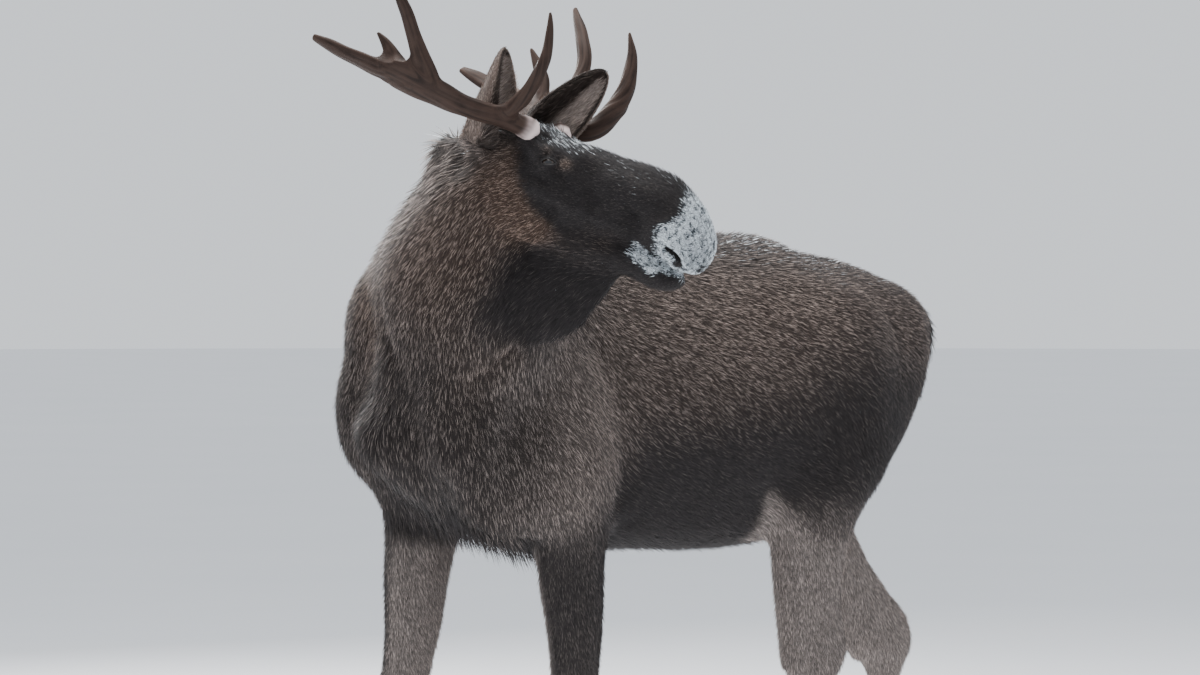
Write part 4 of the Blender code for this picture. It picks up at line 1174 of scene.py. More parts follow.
def carve(where: Array, strokes: Sequence[Sequence]) -> Array:
    """How far strokes raise the surface at places."""
    push = np.zeros(len(where))
    for height, width, *line in strokes:
        far, _ = to_polyline(where, np.array(line) / 1000)
        push += height / 1000 * bell_curve(far, width / 1000)
    return push


# ---- the skin
@dataclass
class Skin:
    """The body's surface under the coat, with lids, nostrils and lips worked into it."""

    markings: Markings
    voxel: float = 0.0056
    rounds: int = 230
    triangles: int = 172000

    EYE_HALF = 0.019
    LID_UP, LID_LOW = 0.0098, 0.008
    LID = 0.0033
    # Lines on the side of the head, forward and up.
    SLIT = ((0.583, -0.032), (0.598, -0.036), (0.612, -0.042), (0.623, -0.05), (0.626, -0.058),
            (0.618, -0.064))
    MOUTH = ((0.462, -0.058), (0.52, -0.062), (0.552, -0.064), (0.58, -0.076), (0.61, -0.086),
             (0.632, -0.084))
    CREASE = ((0.52, 0.04), (0.494, 0.012), (0.48, -0.02), (0.474, -0.05))
    NODES = ("head", "muzzle", "chin", "neck", "forequarters", "barrel", "hindquarters", "bell", "tail")

    def build(self) -> bpy.types.Object:
        """Fuses the masses, evens them out, sets them in by the coat's depth and works the face."""
        masses = Torso().forms() + [leg.form() for leg in LEGS] + Skull().forms() + Hangings().forms()
        obj = fuse("skin", masses, self.voxel)
        mesh = obj.data
        points = places(mesh)
        points = even_out(mesh, points, self.rounds, self.softness(points))
        move(mesh, points)
        depth = even_out(mesh, self.markings.read(points)[1][:, :1], 6)
        mirrored = np.column_stack([np.abs(points[:, 0]), points[:, 1:]])
        depth[:, 0] -= carve(mirrored, BODY_STROKES) + carve(points, NECK_STROKES)
        move(mesh, points - normals(mesh) * depth)
        subdivide(obj, self.head_work)
        points = places(mesh)
        move(mesh, even_out(mesh, points, 2, self.head_work(points).astype(float)))
        points = places(mesh)
        raised = carve(folded(in_head(points)), HEAD_STROKES) * self.head_work(points)
        move(mesh, points + normals(mesh) * raised[:, None])
        subdivide(obj, self.eye_work)
        points = places(mesh)
        move(mesh, even_out(mesh, points, 3, self.face_work(points).astype(float)))
        move(mesh, self.nostrils(places(mesh), normals(mesh)))
        move(mesh, self.lids(places(mesh)))
        thin(obj, self.triangles)
        obj.data.shade_smooth()
        return obj

    @staticmethod
    def softness(points: Array) -> Array:
        """How far each part is evened out: much on trunk and neck, little on face, legs and hangings."""
        ahead = (points - np.array(on_head(0.1, 0, 0))) @ np.array(head_way(1, 0, 1))
        near = from_centre(points, 0.25)
        head = np.clip((ahead + 0.2) / 0.18, 0, 1) * np.clip((0.55 - near) / 0.1, 0, 1)
        legs = np.clip((1.02 - points[:, 2]) / 0.14, 0, 1)
        tail = ramp(points[:, 1], 0.99, 1.02)
        bell = ramp(points[:, 0], 0.385, 0.41) * (points[:, 2] < 1.8)
        return 1 - np.maximum(np.maximum(0.93 * head, 0.9 * legs), 0.92 * np.maximum(tail, bell))

    def head_work(self, points: Array) -> Array:
        """Which points are on the head, from the brow forward."""
        forward, left, up = in_head(points).T
        return (forward > 0.06) & (forward < 0.72) & (np.abs(left) < 0.15) & (np.abs(up) < 0.2)

    def face_work(self, points: Array) -> Array:
        """Which points take fine work: round the eyes, the nostrils and the mouth."""
        head = in_head(points)
        slit, _ = self.from_slit(head)
        mouth, _ = to_polyline(head[:, [0, 2]], self.MOUTH)
        return (np.abs(head[:, 1]) < 0.13) & ((slit < 0.024) | (mouth < 0.014)) | self.near_eye(head, 0.05)

    def eye_work(self, points: Array) -> Array:
        """Which points take the finest work: the lids and the slits of the nostrils."""
        head = in_head(points)
        return self.near_eye(head, 0.034) | (self.from_slit(head)[0] < 0.02)

    @classmethod
    def from_slit(cls, head: Array) -> tuple[Array, Array]:
        """Distance from the nearer nostril's slit, seen from the side, and how far along it."""
        slit, share = to_polyline(head[:, [0, 2]], cls.SLIT)
        return np.where((np.abs(head[:, 1]) > 0.018) & (np.abs(head[:, 1]) < 0.13), slit, 1.0), share

    @staticmethod
    def near_eye(head: Array, radius: float) -> Array:
        """Which head places are near an eye."""
        return np.linalg.norm(folded(head) - np.array(EYE_PLACE), axis=1) < radius

    def nostrils(self, points: Array, outwards: Array) -> Array:
        """Cuts the nostrils' slits and the mouth's line, and raises the rims.

        Args:
            points: Points of the skin.
            outwards: Their normals.

        Returns:
            The points in their new places.
        """
        head = in_head(points)
        flat, aside = head[:, [0, 2]], ramp(np.abs(head[:, 1]), 0.02, 0.03)
        slit, share = self.from_slit(head)
        slim = 0.0068 * np.sin(np.pi * np.clip(share * 0.86 + 0.1, 0, 1)) ** 0.6 + 0.0012
        dip = 0.023 * bell_curve(slit, slim) * np.sin(np.pi * np.clip(share * 0.9 + 0.06, 0, 1)) ** 0.5
        rim = 0.0058 * bell_curve(slit - 0.0135, 0.006)
        mouth, along = to_polyline(flat, self.MOUTH)
        line = 0.0095 * bell_curve(mouth, 0.0048) * ramp(along, 0.0, 0.12)
        fold = 0.003 * bell_curve(to_polyline(flat, self.CREASE)[0], 0.012)
        inside = (np.abs(head[:, 1]) < 0.13) & (head[:, 0] > 0.42) & (head[:, 0] < 0.7)
        push = inside * ((rim - dip) * aside - line - fold * aside)
        return points + outwards * push[:, None]

    def lids(self, points: Array) -> Array:
        """Draws the skin over the eyeballs, leaving an almond opening with folds above and below.

        Args:
            points: Points of the skin.

        Returns:
            The points in their new places.
        """
        head = in_head(points)
        near = folded(head)
        flip = np.sign(near * head + 1e-12)
        along, up, axis = EYE_AXES
        from_eye = near - np.array(EYE_PLACE)
        out, across, high = from_eye @ axis, from_eye @ along, from_eye @ up
        opening = np.hypot(across / self.EYE_HALF, high / np.where(high > 0, self.LID_UP, self.LID_LOW))
        wide = np.hypot(across, high)
        radius = EYE_RADIUS + self.LID * (0.5 + 0.5 * ramp(opening, 0.95, 1.3))
        turn = 0.8 * radius
        round_top = np.sqrt(np.maximum(radius**2 - wide**2, 1e-9))
        dome = np.where(wide < turn, round_top, (radius - 0.8 * wide) / 0.6)
        dome -= 0.0021 * bell_curve(opening - 1.75, 0.16) * (high > 0)
        dome -= 0.0016 * bell_curve(opening - 2.05, 0.2) * (high < 0)
        dome -= 0.012 * ramp(1.0 - opening, -0.02, 0.22)
        free = 0.5 * (out + dome + np.sqrt((out - dome) ** 2 + 0.005**2))
        target = dome + (free - dome) * ramp(wide, 0.017, 0.034)
        blend = ramp(-wide, -0.052, -0.036) * (out > -0.03)
        near += ((target - out) * blend)[:, None] * axis
        return from_head(near * flip)


# ---- the coat
class Part(Enum):
    """The pieces that the coat is made in."""

    HEAD = 0
    NECK = 1
    FORE = 2
    BARREL = 3
    HIND = 4
    FRONT_LEGS = 5
    HIND_LEGS = 6
    EARS = 7


class TuftTree(Tree):
    """The tree that scatters tufts over the faces of one part.

    Its named inputs are Skin, Part, Density, Rings, Jitter, Wave, Seed and Finish.
    """

    NARROWEST, WIDEST = 0.72, 1.28
    FINE_WAVE = 1.8
    BELLY = 1.6
    MAP_PATCH = 0.003

    def __init__(self) -> None:
        """Builds the tree."""
        super().__init__(bpy.data.node_groups.new("tufts", "GeometryNodeTree"))
        sockets = self.tree.interface
        for name, kind in (("Skin", "Geometry"), ("Part", "Int"), ("Density", "Float"), ("Rings", "Int"),
                           ("Jitter", "Float"), ("Wave", "Float"), ("Seed", "Int"), ("Finish", "Material")):
            sockets.new_socket(name, in_out="INPUT", socket_type=f"NodeSocket{kind}")
        sockets.new_socket("Coat", in_out="OUTPUT", socket_type="NodeSocketGeometry")
        self.given = {s.name: Val(self, s) for s in self.node("NodeGroupInput").outputs if s.name}
        made = self.value("GeometryNodeRealizeInstances", {}, {"Geometry": self.tufts()})
        strand = self.value("ShaderNodeCombineXYZ", {}, {
            i: self.kept(name, "FLOAT") for i, name in enumerate(("along", "shade", "chance"))})
        made = self.stored(made, "strand", strand)
        made = self.stored(made, "OFBake", self.bake_place(), "FLOAT2", "CORNER")
        made = self.value("GeometryNodeSetMaterial", {}, {"Geometry": made, "Material": self.given["Finish"]})
        self.node("NodeGroupOutput", {}, {0: made})

    def kept(self, name: str, kind: str = "FLOAT_VECTOR") -> Val:
        """An attribute kept on the mesh."""
        return self.value("GeometryNodeInputNamedAttribute", {"data_type": kind}, {"Name": name}, "Attribute")

    def stored(
        self, made: Val, name: str, value: Val, kind: str = "FLOAT_VECTOR", domain: str = "POINT"
    ) -> Val:
        """Geometry with a value kept on it as a named attribute."""
        return self.value("GeometryNodeStoreNamedAttribute", {"data_type": kind, "domain": domain},
                          {"Geometry": made, "Name": name, "Value": value})

    def chance(self, low: object, high: object, kind: str, seed: int) -> Val:
        """A random value for each tuft."""
        return self.value("FunctionNodeRandomValue", {"data_type": kind},
                          {"Min": low, "Max": high, "Seed": self.given["Seed"] + seed}, "Value")

    def lay(self) -> Val:
        """The way that each tuft points: the lie of the hair, with waves and a stray share."""
        where, lay = self.value("GeometryNodeInputPosition"), self.kept("lay")
        for scale, share in ((16.0, 1.0), (70.0, self.FINE_WAVE)):
            wave = self.vector("SUBTRACT", self.noise(where, scale, 1.0, "Color"), (0.5, 0.5, 0.5))
            lay = self.vector("ADD", lay, self.vector("SCALE", wave, self.given["Wave"] * share))
        stray = self.chance((-1.0,) * 3, (1.0,) * 3, "FLOAT_VECTOR", 1)
        return self.vector("ADD", lay, self.vector("SCALE", stray, self.given["Jitter"]))

    def tufts(self) -> Val:
        """Tufts as instances on the part's faces, each with its own shade and chance."""
        wanted = self.value("FunctionNodeCompare", {"data_type": "INT", "operation": "EQUAL"},
                            {"A": self.kept("part", "INT"), "B": self.given["Part"]})
        ground = self.value("GeometryNodeSeparateGeometry", {"domain": "FACE"},
                            {"Geometry": self.given["Skin"], "Selection": wanted}, "Selection")
        roots = self.value("GeometryNodeDistributePointsOnFaces", {"distribute_method": "RANDOM"},
                           {"Mesh": ground, "Density": self.kept("dense", "FLOAT") * self.given["Density"],
                            "Seed": self.given["Seed"]}, "Points")
        lay = self.lay()
        turned = self.value("FunctionNodeAlignRotationToVector", {"axis": "Z"}, {"Vector": lay})
        sideways = self.vector("CROSS_PRODUCT", self.kept("out"), lay)
        turned = self.value("FunctionNodeAlignRotationToVector", {"axis": "X", "pivot_axis": "Z"},
                            {"Rotation": turned, "Vector": sideways})
        size = self.vector("SCALE", self.kept("size"), self.chance(self.NARROWEST, self.WIDEST, "FLOAT", 2))
        tufts = self.value("GeometryNodeInstanceOnPoints", {}, {
            "Points": roots, "Instance": self.spike(), "Rotation": turned, "Scale": size})
        for name, seed in (("shade", 3), ("chance", 4)):
            tufts = self.stored(tufts, name, self.chance(0.0, 1.0, "FLOAT", seed), "FLOAT", "INSTANCE")
        return tufts

    def bake_place(self) -> Val:
        """Places for the bake's map: round and along the part, with a small patch for each tuft."""
        cosine, sine, height = self.kept("turn").parts()
        angle = sine.math("ARCTAN2", cosine) / (2 * math.pi) + 0.5
        place = self.value("ShaderNodeCombineXYZ", {}, {0: angle, 1: height})
        return self.vector("ADD", place, self.vector("SCALE", self.kept("spot"), self.MAP_PATCH))

    def spike(self) -> Val:
        """One tuft: a closed three-sided spike along Z, its broad side towards +Y, with its own places."""
        cone = self.value("GeometryNodeMeshCone", {"fill_type": "NGON"}, {
            "Vertices": 3, "Side Segments": self.given["Rings"], "Radius Top": 0.0, "Radius Bottom": 0.5,
            "Depth": 1.0}, "Mesh")
        inwards, wide, high = self.value("GeometryNodeInputPosition").parts()
        cone = self.stored(cone, "along", high, "FLOAT")
        cone = self.stored(cone, "spot", self.value("ShaderNodeCombineXYZ", {}, {0: wide, 1: high - 0.5}))
        swell = 1.0 + high * (1.0 - high) * self.BELLY
        swollen = self.value("ShaderNodeCombineXYZ", {}, {0: wide * swell, 1: 0.0 - inwards * swell, 2: high})
        return self.value("GeometryNodeSetPosition", {}, {"Geometry": cone, "Position": swollen})


@dataclass
class Coat:
    """Tufts of hair over a surface, each a closed spike that lies the way the hair grows."""

    jitter: float = 0.17
    wave: float = 0.24
    rings: int = 1

    KEPT = ("position", "marks", "strand", "OFBake", "material_index", "sharp_face")

    def __post_init__(self) -> None:
        """Builds the tree once for all pieces."""
        self.tree = TuftTree().tree

    def grow(
        self, ground: bpy.types.Object, part: Part, count: int, finish: bpy.types.Material
    ) -> bpy.types.Object:
        """Grows one piece of the coat.

        Args:
            ground: The surface, with its growth kept on it.
            part: Which part of it to cover.
            count: About how many tufts.
            finish: Their material.

        Returns:
            The piece.
        """
        mesh = ground.data
        area = read(mesh.polygons, "area", 1)[:, 0]
        parts = read(mesh.attributes["part"].data, "value", 1, np.int32)[:, 0]
        dense = read(mesh.attributes["dense"].data, "value", 1)[:, 0]
        starts = read(mesh.polygons, "loop_start", 1, np.int32)[:, 0]
        first = read(mesh.loops, "vertex_index", 1, np.int32)[starts, 0]
        total = float((area * dense[first])[parts == part.value].sum())
        name = f"coat_{part.name.lower()}"
        grown = link(name, mesh)
        modifier = grown.modifiers.new("tufts", "NODES")
        modifier.node_group = self.tree
        inputs = {"Part": part.value, "Density": count / total, "Rings": self.rings, "Jitter": self.jitter,
                  "Wave": self.wave, "Seed": 11 + part.value * 10, "Finish": finish}
        for item in self.tree.interface.items_tree:
            if item.name in inputs:
                modifier[item.identifier] = inputs[item.name]
        settle(grown)
        grown.data.name = name
        layers = grown.data.attributes
        for spare in [a.name for a in layers if a.name not in self.KEPT and not a.name.startswith(".")]:
            layers.remove(layers[spare])
        return grown


def lifted(flat: Array, outwards: Array, lift: Array) -> Array:
    """Directions along a surface, lifted off it by a share, 0 to 1."""
    return flat * np.sqrt(1 - lift[:, None] ** 2) + outwards * lift[:, None]


@dataclass
class Growth:
    """What the coat needs to know at each point of a surface, kept on its mesh."""

    lay: Array
    outwards: Array
    length: Array
    marks: Array
    turn: Array

    THINNEST, SPREAD, FLATNESS = 0.0013, 0.042, 0.62

    def keep(self, mesh: bpy.types.Mesh, parts: Array, bare: Array | float = 0.0) -> None:
        """Stores the growth, with tufts as wide and as close as their length asks for.

        Args:
            mesh: The surface.
            parts: The part of each face.
            bare: Share of each point's hair that is missing.
        """
        width = self.THINNEST + self.SPREAD * self.length
        store(mesh, "lay", self.lay)
        store(mesh, "out", self.outwards)
        store(mesh, "size", np.stack([width, self.FLATNESS * width, self.length], axis=1))
        store(mesh, "dense", 1 / (width * self.length) * (1 - bare), "FLOAT")
        store(mesh, "turn", self.turn)
        store(mesh, "marks", self.marks, "FLOAT_COLOR")
        store(mesh, "part", parts, "INT", "FACE")


class BodyGrowth:
    """Growth over the whole skin."""

    SPLIT_FORE, SPLIT_HIND = -0.02, 0.44
    LEG_TOP = 0.99
    LEG_ASIDE = 0.075
    FRONT_LEG_END, HIND_LEG_START = -0.15, 0.26
    NECK_BASE, NECK_RISE = np.array((0, -0.6, 1.4)), np.array((0.1, -0.62, 0.78))
    NECK_FOOT, NECK_TIP = np.array((0.05, -0.45, 1.45)), np.array((0.32, -0.68, 1.97))
    HEAD_MIDDLE, HEAD_REACH = 0.3, 0.46
    TRUNK_AXIS = 1.37
    LEAST_LIFT, MOST_LIFT = 0.12, 0.55

    def __init__(self, markings: Markings) -> None:
        """Takes the markings."""
        self.markings = markings

    def keep(self, mesh: bpy.types.Mesh) -> None:
        """Works out the growth at each point and the part of each face, and keeps them."""
        points, outwards = places(mesh), normals(mesh)
        way, rows = self.markings.read(points)
        share = 0.25 + 0.75 * ramp(from_centre(points, self.HEAD_MIDDLE), 0.32, 0.5)
        rows[:, 2:] = even_out(mesh, rows[:, 2:], 110, share)
        self.markings.sharpen(rows, points, outwards)
        depth, length = rows[:, 0], rows[:, 1]
        flat = unit(even_out(mesh, square_to(outwards, way), 8))
        hang = ramp(length, 0.036, 0.055) * np.clip((way * outwards).sum(1), 0, 1)
        lift = np.clip(0.95 * depth / length, self.LEAST_LIFT, self.MOST_LIFT)
        lay = lifted(flat, outwards, np.maximum(lift, 0.9 * hang))
        middles = read(mesh.polygons, "center", 3).astype(float)
        turn = self.unwrap(points, self.part_of(points))
        Growth(lay, outwards, length, rows[:, 2:], turn).keep(mesh, self.part_of(middles), self.bare(points))

    def bare(self, points: Array) -> Array:
        """Where no hair grows: inside the lids' opening and the nostrils' slits."""
        head = in_head(points)
        eye = Skin.near_eye(head, EYE_RADIUS + 0.0006).astype(float)
        return np.maximum(ramp(-Skin.from_slit(head)[0], -0.0068, -0.0042), eye)

    def part_of(self, points: Array) -> Array:
        """The part that each point is in."""
        head = in_head(points)
        near = from_centre(points, self.HEAD_MIDDLE) < self.HEAD_REACH
        x, y, z = points.T
        parts = np.full(len(points), Part.BARREL.value)
        parts[y < self.SPLIT_FORE] = Part.FORE.value
        parts[y > self.SPLIT_HIND] = Part.HIND.value
        leg = (z < self.LEG_TOP) & (np.abs(x) > self.LEG_ASIDE)
        parts[leg & (y < self.FRONT_LEG_END)] = Part.FRONT_LEGS.value
        parts[leg & (y > self.HIND_LEG_START)] = Part.HIND_LEGS.value
        above = (points - self.NECK_BASE) @ self.NECK_RISE > 0
        parts[above | (z > 1.48) & (x > 0.385) & (y < -0.4)] = Part.NECK.value
        parts[near & (head[:, 0] - 0.03 + head[:, 2] > 0) & (np.abs(head[:, 1]) < 0.2)] = Part.HEAD.value
        return parts

    def unwrap(self, points: Array, parts: Array) -> Array:
        """Unwraps all parts for the bake's map.

        Args:
            points: Points of the skin.
            parts: The part that each is in.

        Returns:
            Cosine and sine round each part's own axis, and the share of its length.
        """
        turn = np.zeros((len(points), 3))
        head = in_head(points)
        self.wind(turn, parts == Part.HEAD.value, head[:, 1], head[:, 2], head[:, 0])
        way = unit(self.NECK_TIP - self.NECK_FOOT)
        right = np.cross(way, (0, 0, 1))
        near = points - self.NECK_FOOT
        up = unit(np.cross(right, way))
        self.wind(turn, parts == Part.NECK.value, near @ unit(right), near @ up, near @ way)
        x, y, z = points.T
        for part in (Part.FORE, Part.BARREL, Part.HIND):
            self.wind(turn, parts == part.value, x, z - self.TRUNK_AXIS, y)
        for i, leg in enumerate(LEGS):
            part = Part.FRONT_LEGS if leg in FORELEGS else Part.HIND_LEGS
            chosen = (parts == part.value) & (np.sign(x) == leg.side)
            off = points[:, :2] - leg.middle(z)
            low = 0.5 * (i % 2)
            self.wind(turn, chosen, *off.T, z, low + 0.01, low + 0.49)
        return turn

    @staticmethod
    def wind(turn: Array, chosen: Array, right: Array, up: Array, along: Array,
             low: float = 0.01, high: float = 0.99) -> None:
        """Unwraps the chosen points.

        Args:
            turn: The rows to fill in.
            chosen: Which points.
            right: Place to the right of the part's axis.
            up: Place above it.
            along: Place along it.
            low: Where the part's share of the map begins.
            high: Where it ends.
        """
        along = along[chosen]
        share = (along - along.min()) / (along.max() - along.min())
        around = unit(np.stack([right[chosen], up[chosen]], axis=1))
        turn[chosen] = np.concatenate([around, (low + (high - low) * share)[:, None]], axis=1)


# ---- ears
@dataclass(frozen=True)
class Ear:
    """A cupped ear: root, bend and tip, the way it opens, half its breadth, how far its edges curl round at
    root, middle and tip in degrees, and between which shares of its breadth the cup's pale hair lies,
    brightened with painted light, with painted shadow over the rest of the cup.
    """

    side: int
    root: Triple
    bend: Triple
    tip: Triple
    opening: Triple
    breadth: float
    sweep: Triple
    cup: tuple[float, float]
    neck: float = 0.026
    wall: float = 0.0045

    def build(self, along: int = 46, around: int = 30) -> bpy.types.Object:
        """The ear's shell, with its growth kept on it for the coat.

        Args:
            along: Spans from root to tip.
            around: Spans from edge to edge.

        Returns:
            The shell.
        """
        root, bend, tip = (
            np.array(on_head(f, self.side * l, u)) for f, l, u in (self.root, self.bend, self.tip))
        way = unit(tip - root)
        front = np.array(head_way(self.opening[0], self.side * self.opening[1], self.opening[2]))
        front = unit(front - way * (front @ way))
        across = np.cross(way, front)
        rows, growth = [], []
        for t in np.sin(np.linspace(0, math.pi / 2, along + 1)):
            sweep = math.radians(np.interp(t, (0, 0.35, 1), self.sweep))
            leaf = max(math.sin(math.pi * t**0.8), 0.0) ** 0.42
            width = max(0.0035, self.neck * (1 - t) ** 1.5 + (self.breadth - 0.3 * self.neck) * leaf) - 0.002
            radius = width / math.sin(min(sweep, math.pi / 2))
            centre = root * (1 - t) ** 2 + bend * (2 * t * (1 - t)) + tip * t**2 + front * radius * 0.65
            for k in range(around + 1):
                share = 2 * k / around - 1
                turn = sweep * share
                fold = 0.0022 * math.cos(share * 9.0) * math.sin(math.pi * t)
                reach = radius + fold
                rows.append(centre + reach * (across * math.sin(turn) - front * math.cos(turn)))
                growth.append((t, share, 0))
        hoops = np.array(rows).reshape(along + 1, around + 1, 3)
        step = around + 1
        faces = [(i + k, i + k + 1, i + step + k + 1, i + step + k)
                 for i in range(0, along * step, step) for k in range(around)]
        obj = Form(hoops.reshape(-1, 3), faces).build(f"ear_{SIDE_NAMES[self.side]}_shell")
        store(obj.data, "leaf", np.array(growth))
        solid = obj.modifiers.new("wall", "SOLIDIFY")
        solid.thickness, solid.offset = self.wall, 0.0
        settle(obj)
        self.keep_growth(obj.data, way, front)
        obj.data.shade_smooth()
        return obj

    def keep_growth(self, mesh: bpy.types.Mesh, way: Array, front: Array) -> None:
        """Short hair towards the tip outside with a painted shadow line along one edge, long hair across the
        cup inside: a pale patch lit with painted light, and painted shadow round it.

        Args:
            mesh: The shell.
            way: From root to tip.
            front: The way the ear opens.
        """
        outwards = normals(mesh)
        t, share, _ = read(mesh.attributes["leaf"].data, "vector", 3).astype(float).T
        within = (outwards @ front > 0) & (np.abs(share) < 0.985)
        inner = within.astype(float)
        flat = square_to(outwards, way + 0.5 * front * inner[:, None])
        length = np.where(within, 0.02 + 0.018 * (1 - t), 0.011 + 0.008 * (1 - t))
        length *= (1 - 0.35 * ramp(t, 0.7, 1.0)) * (1 - 0.45 * ramp(np.abs(share), 0.8, 0.97))
        # The cup's pale patch is partly the hair's own pale and partly painted light.
        low, high = self.cup
        pale_lit_patch = ramp(share, low - 0.15, low + 0.15) * ramp(-share, -high - 0.12, -high + 0.12)
        pale_lit_patch *= ramp(t, 0.1, 0.3) * ramp(-t, -0.97, -0.84)
        # Inside, the dark outside the pale patch is painted shadow in the cup; outside, 0.12 is the hair's own
        # dark and the rise along one edge is a painted shadow line under the rim.
        dark = np.where(within, 0.75 * (1 - pale_lit_patch), 0.12 + 0.7 * ramp(-share, 0.82, 0.93))
        marks = np.stack([dark, np.where(within, 0.4, 0.5), np.where(within, 0.05 + 0.9 * pale_lit_patch, 0.3),
                          np.zeros(len(t))], axis=1)
        angle = np.pi * (share * 0.48 + inner - 0.5)
        half = 0.01 if self.side == LEFT else 0.51
        turn = np.stack([np.cos(angle), np.sin(angle), half + 0.48 * t], axis=1)
        lay = lifted(flat, outwards, 0.22 + 0.2 * inner)
        Growth(lay, outwards, length, marks, turn).keep(mesh, np.full(len(mesh.polygons), Part.EARS.value))


EARS = (
    Ear(RIGHT, (-0.03, 0.098, 0.06), (0.008, 0.13, 0.195), (0.008, 0.156, 0.308), (1.0, -0.1, 0.0),
        0.062, (150, 108, 70), (-0.3, 1.2)),
    Ear(LEFT, (0.045, 0.085, 0.085), (0.105, 0.12, 0.205), (0.16, 0.148, 0.325), (0.6, -0.75, 0.0),
        0.066, (150, 72, 50), (0.0, 0.72)),
)


# ---- antlers
# Rows of a limb, in millimetres: forward, to the side, up, half thickness, then the reach up and down in the
# antler's plane, once where they are equal.
BEAM = (
    (114, 94, 134, 30, 31), (100, 120, 138, 26.5, 27), (65, 170, 143, 25, 29), (5, 250, 141, 21, 34, 32),
    (-63, 320, 155, 17, 46, 44), (-128, 373, 167, 14, 52, 50), (-165, 392, 172, 11, 40, 44),
)
REAR_TINE = (
    (-110, 362, 162, 12, 30, 32), (-205, 397, 169, 15, 30, 31), (-276, 410, 175, 14, 26),
    (-341, 420, 182, 12, 21), (-384, 426, 188, 7, 12),
)
TINES = {
    RIGHT: (
        ((60, 168, 143, 18, 20), (109, 187, 192, 21, 22), (143, 207, 250, 18, 20), (164, 230, 332, 14, 16),
         (159, 240, 390, 10, 12), (144, 246, 441, 4, 5)),
        ((-62, 330, 166, 12, 26), (-83, 372, 213, 16, 26), (-106, 410, 261, 15, 21),
         (-124, 450, 312, 13, 18), (-146, 485, 356, 11, 15), (-166, 512, 396, 5, 6)),
        ((-116, 362, 150, 10, 26), (-161, 380, 200, 12, 24), (-200, 386, 232, 10, 15),
         (-231, 391, 252, 4, 5)),
    ),
    LEFT: (
        ((75, 172, 143, 21, 27), (145, 195, 160, 28, 32), (182, 224, 232, 28, 30), (186, 244, 306, 23, 25),
         (162, 258, 392, 13, 14), (136, 260, 440, 4, 5)),
        ((-45, 318, 160, 14, 26), (-20, 362, 225, 20, 28), (-20, 392, 300, 19, 24), (-62, 425, 365, 17, 20),
         (-104, 455, 405, 13, 16), (-145, 482, 443, 6, 7)),
        ((-80, 342, 155, 10, 26), (-115, 374, 232, 12, 23), (-155, 385, 276, 10, 14),
         (-188, 390, 305, 4, 5)),
    ),
}


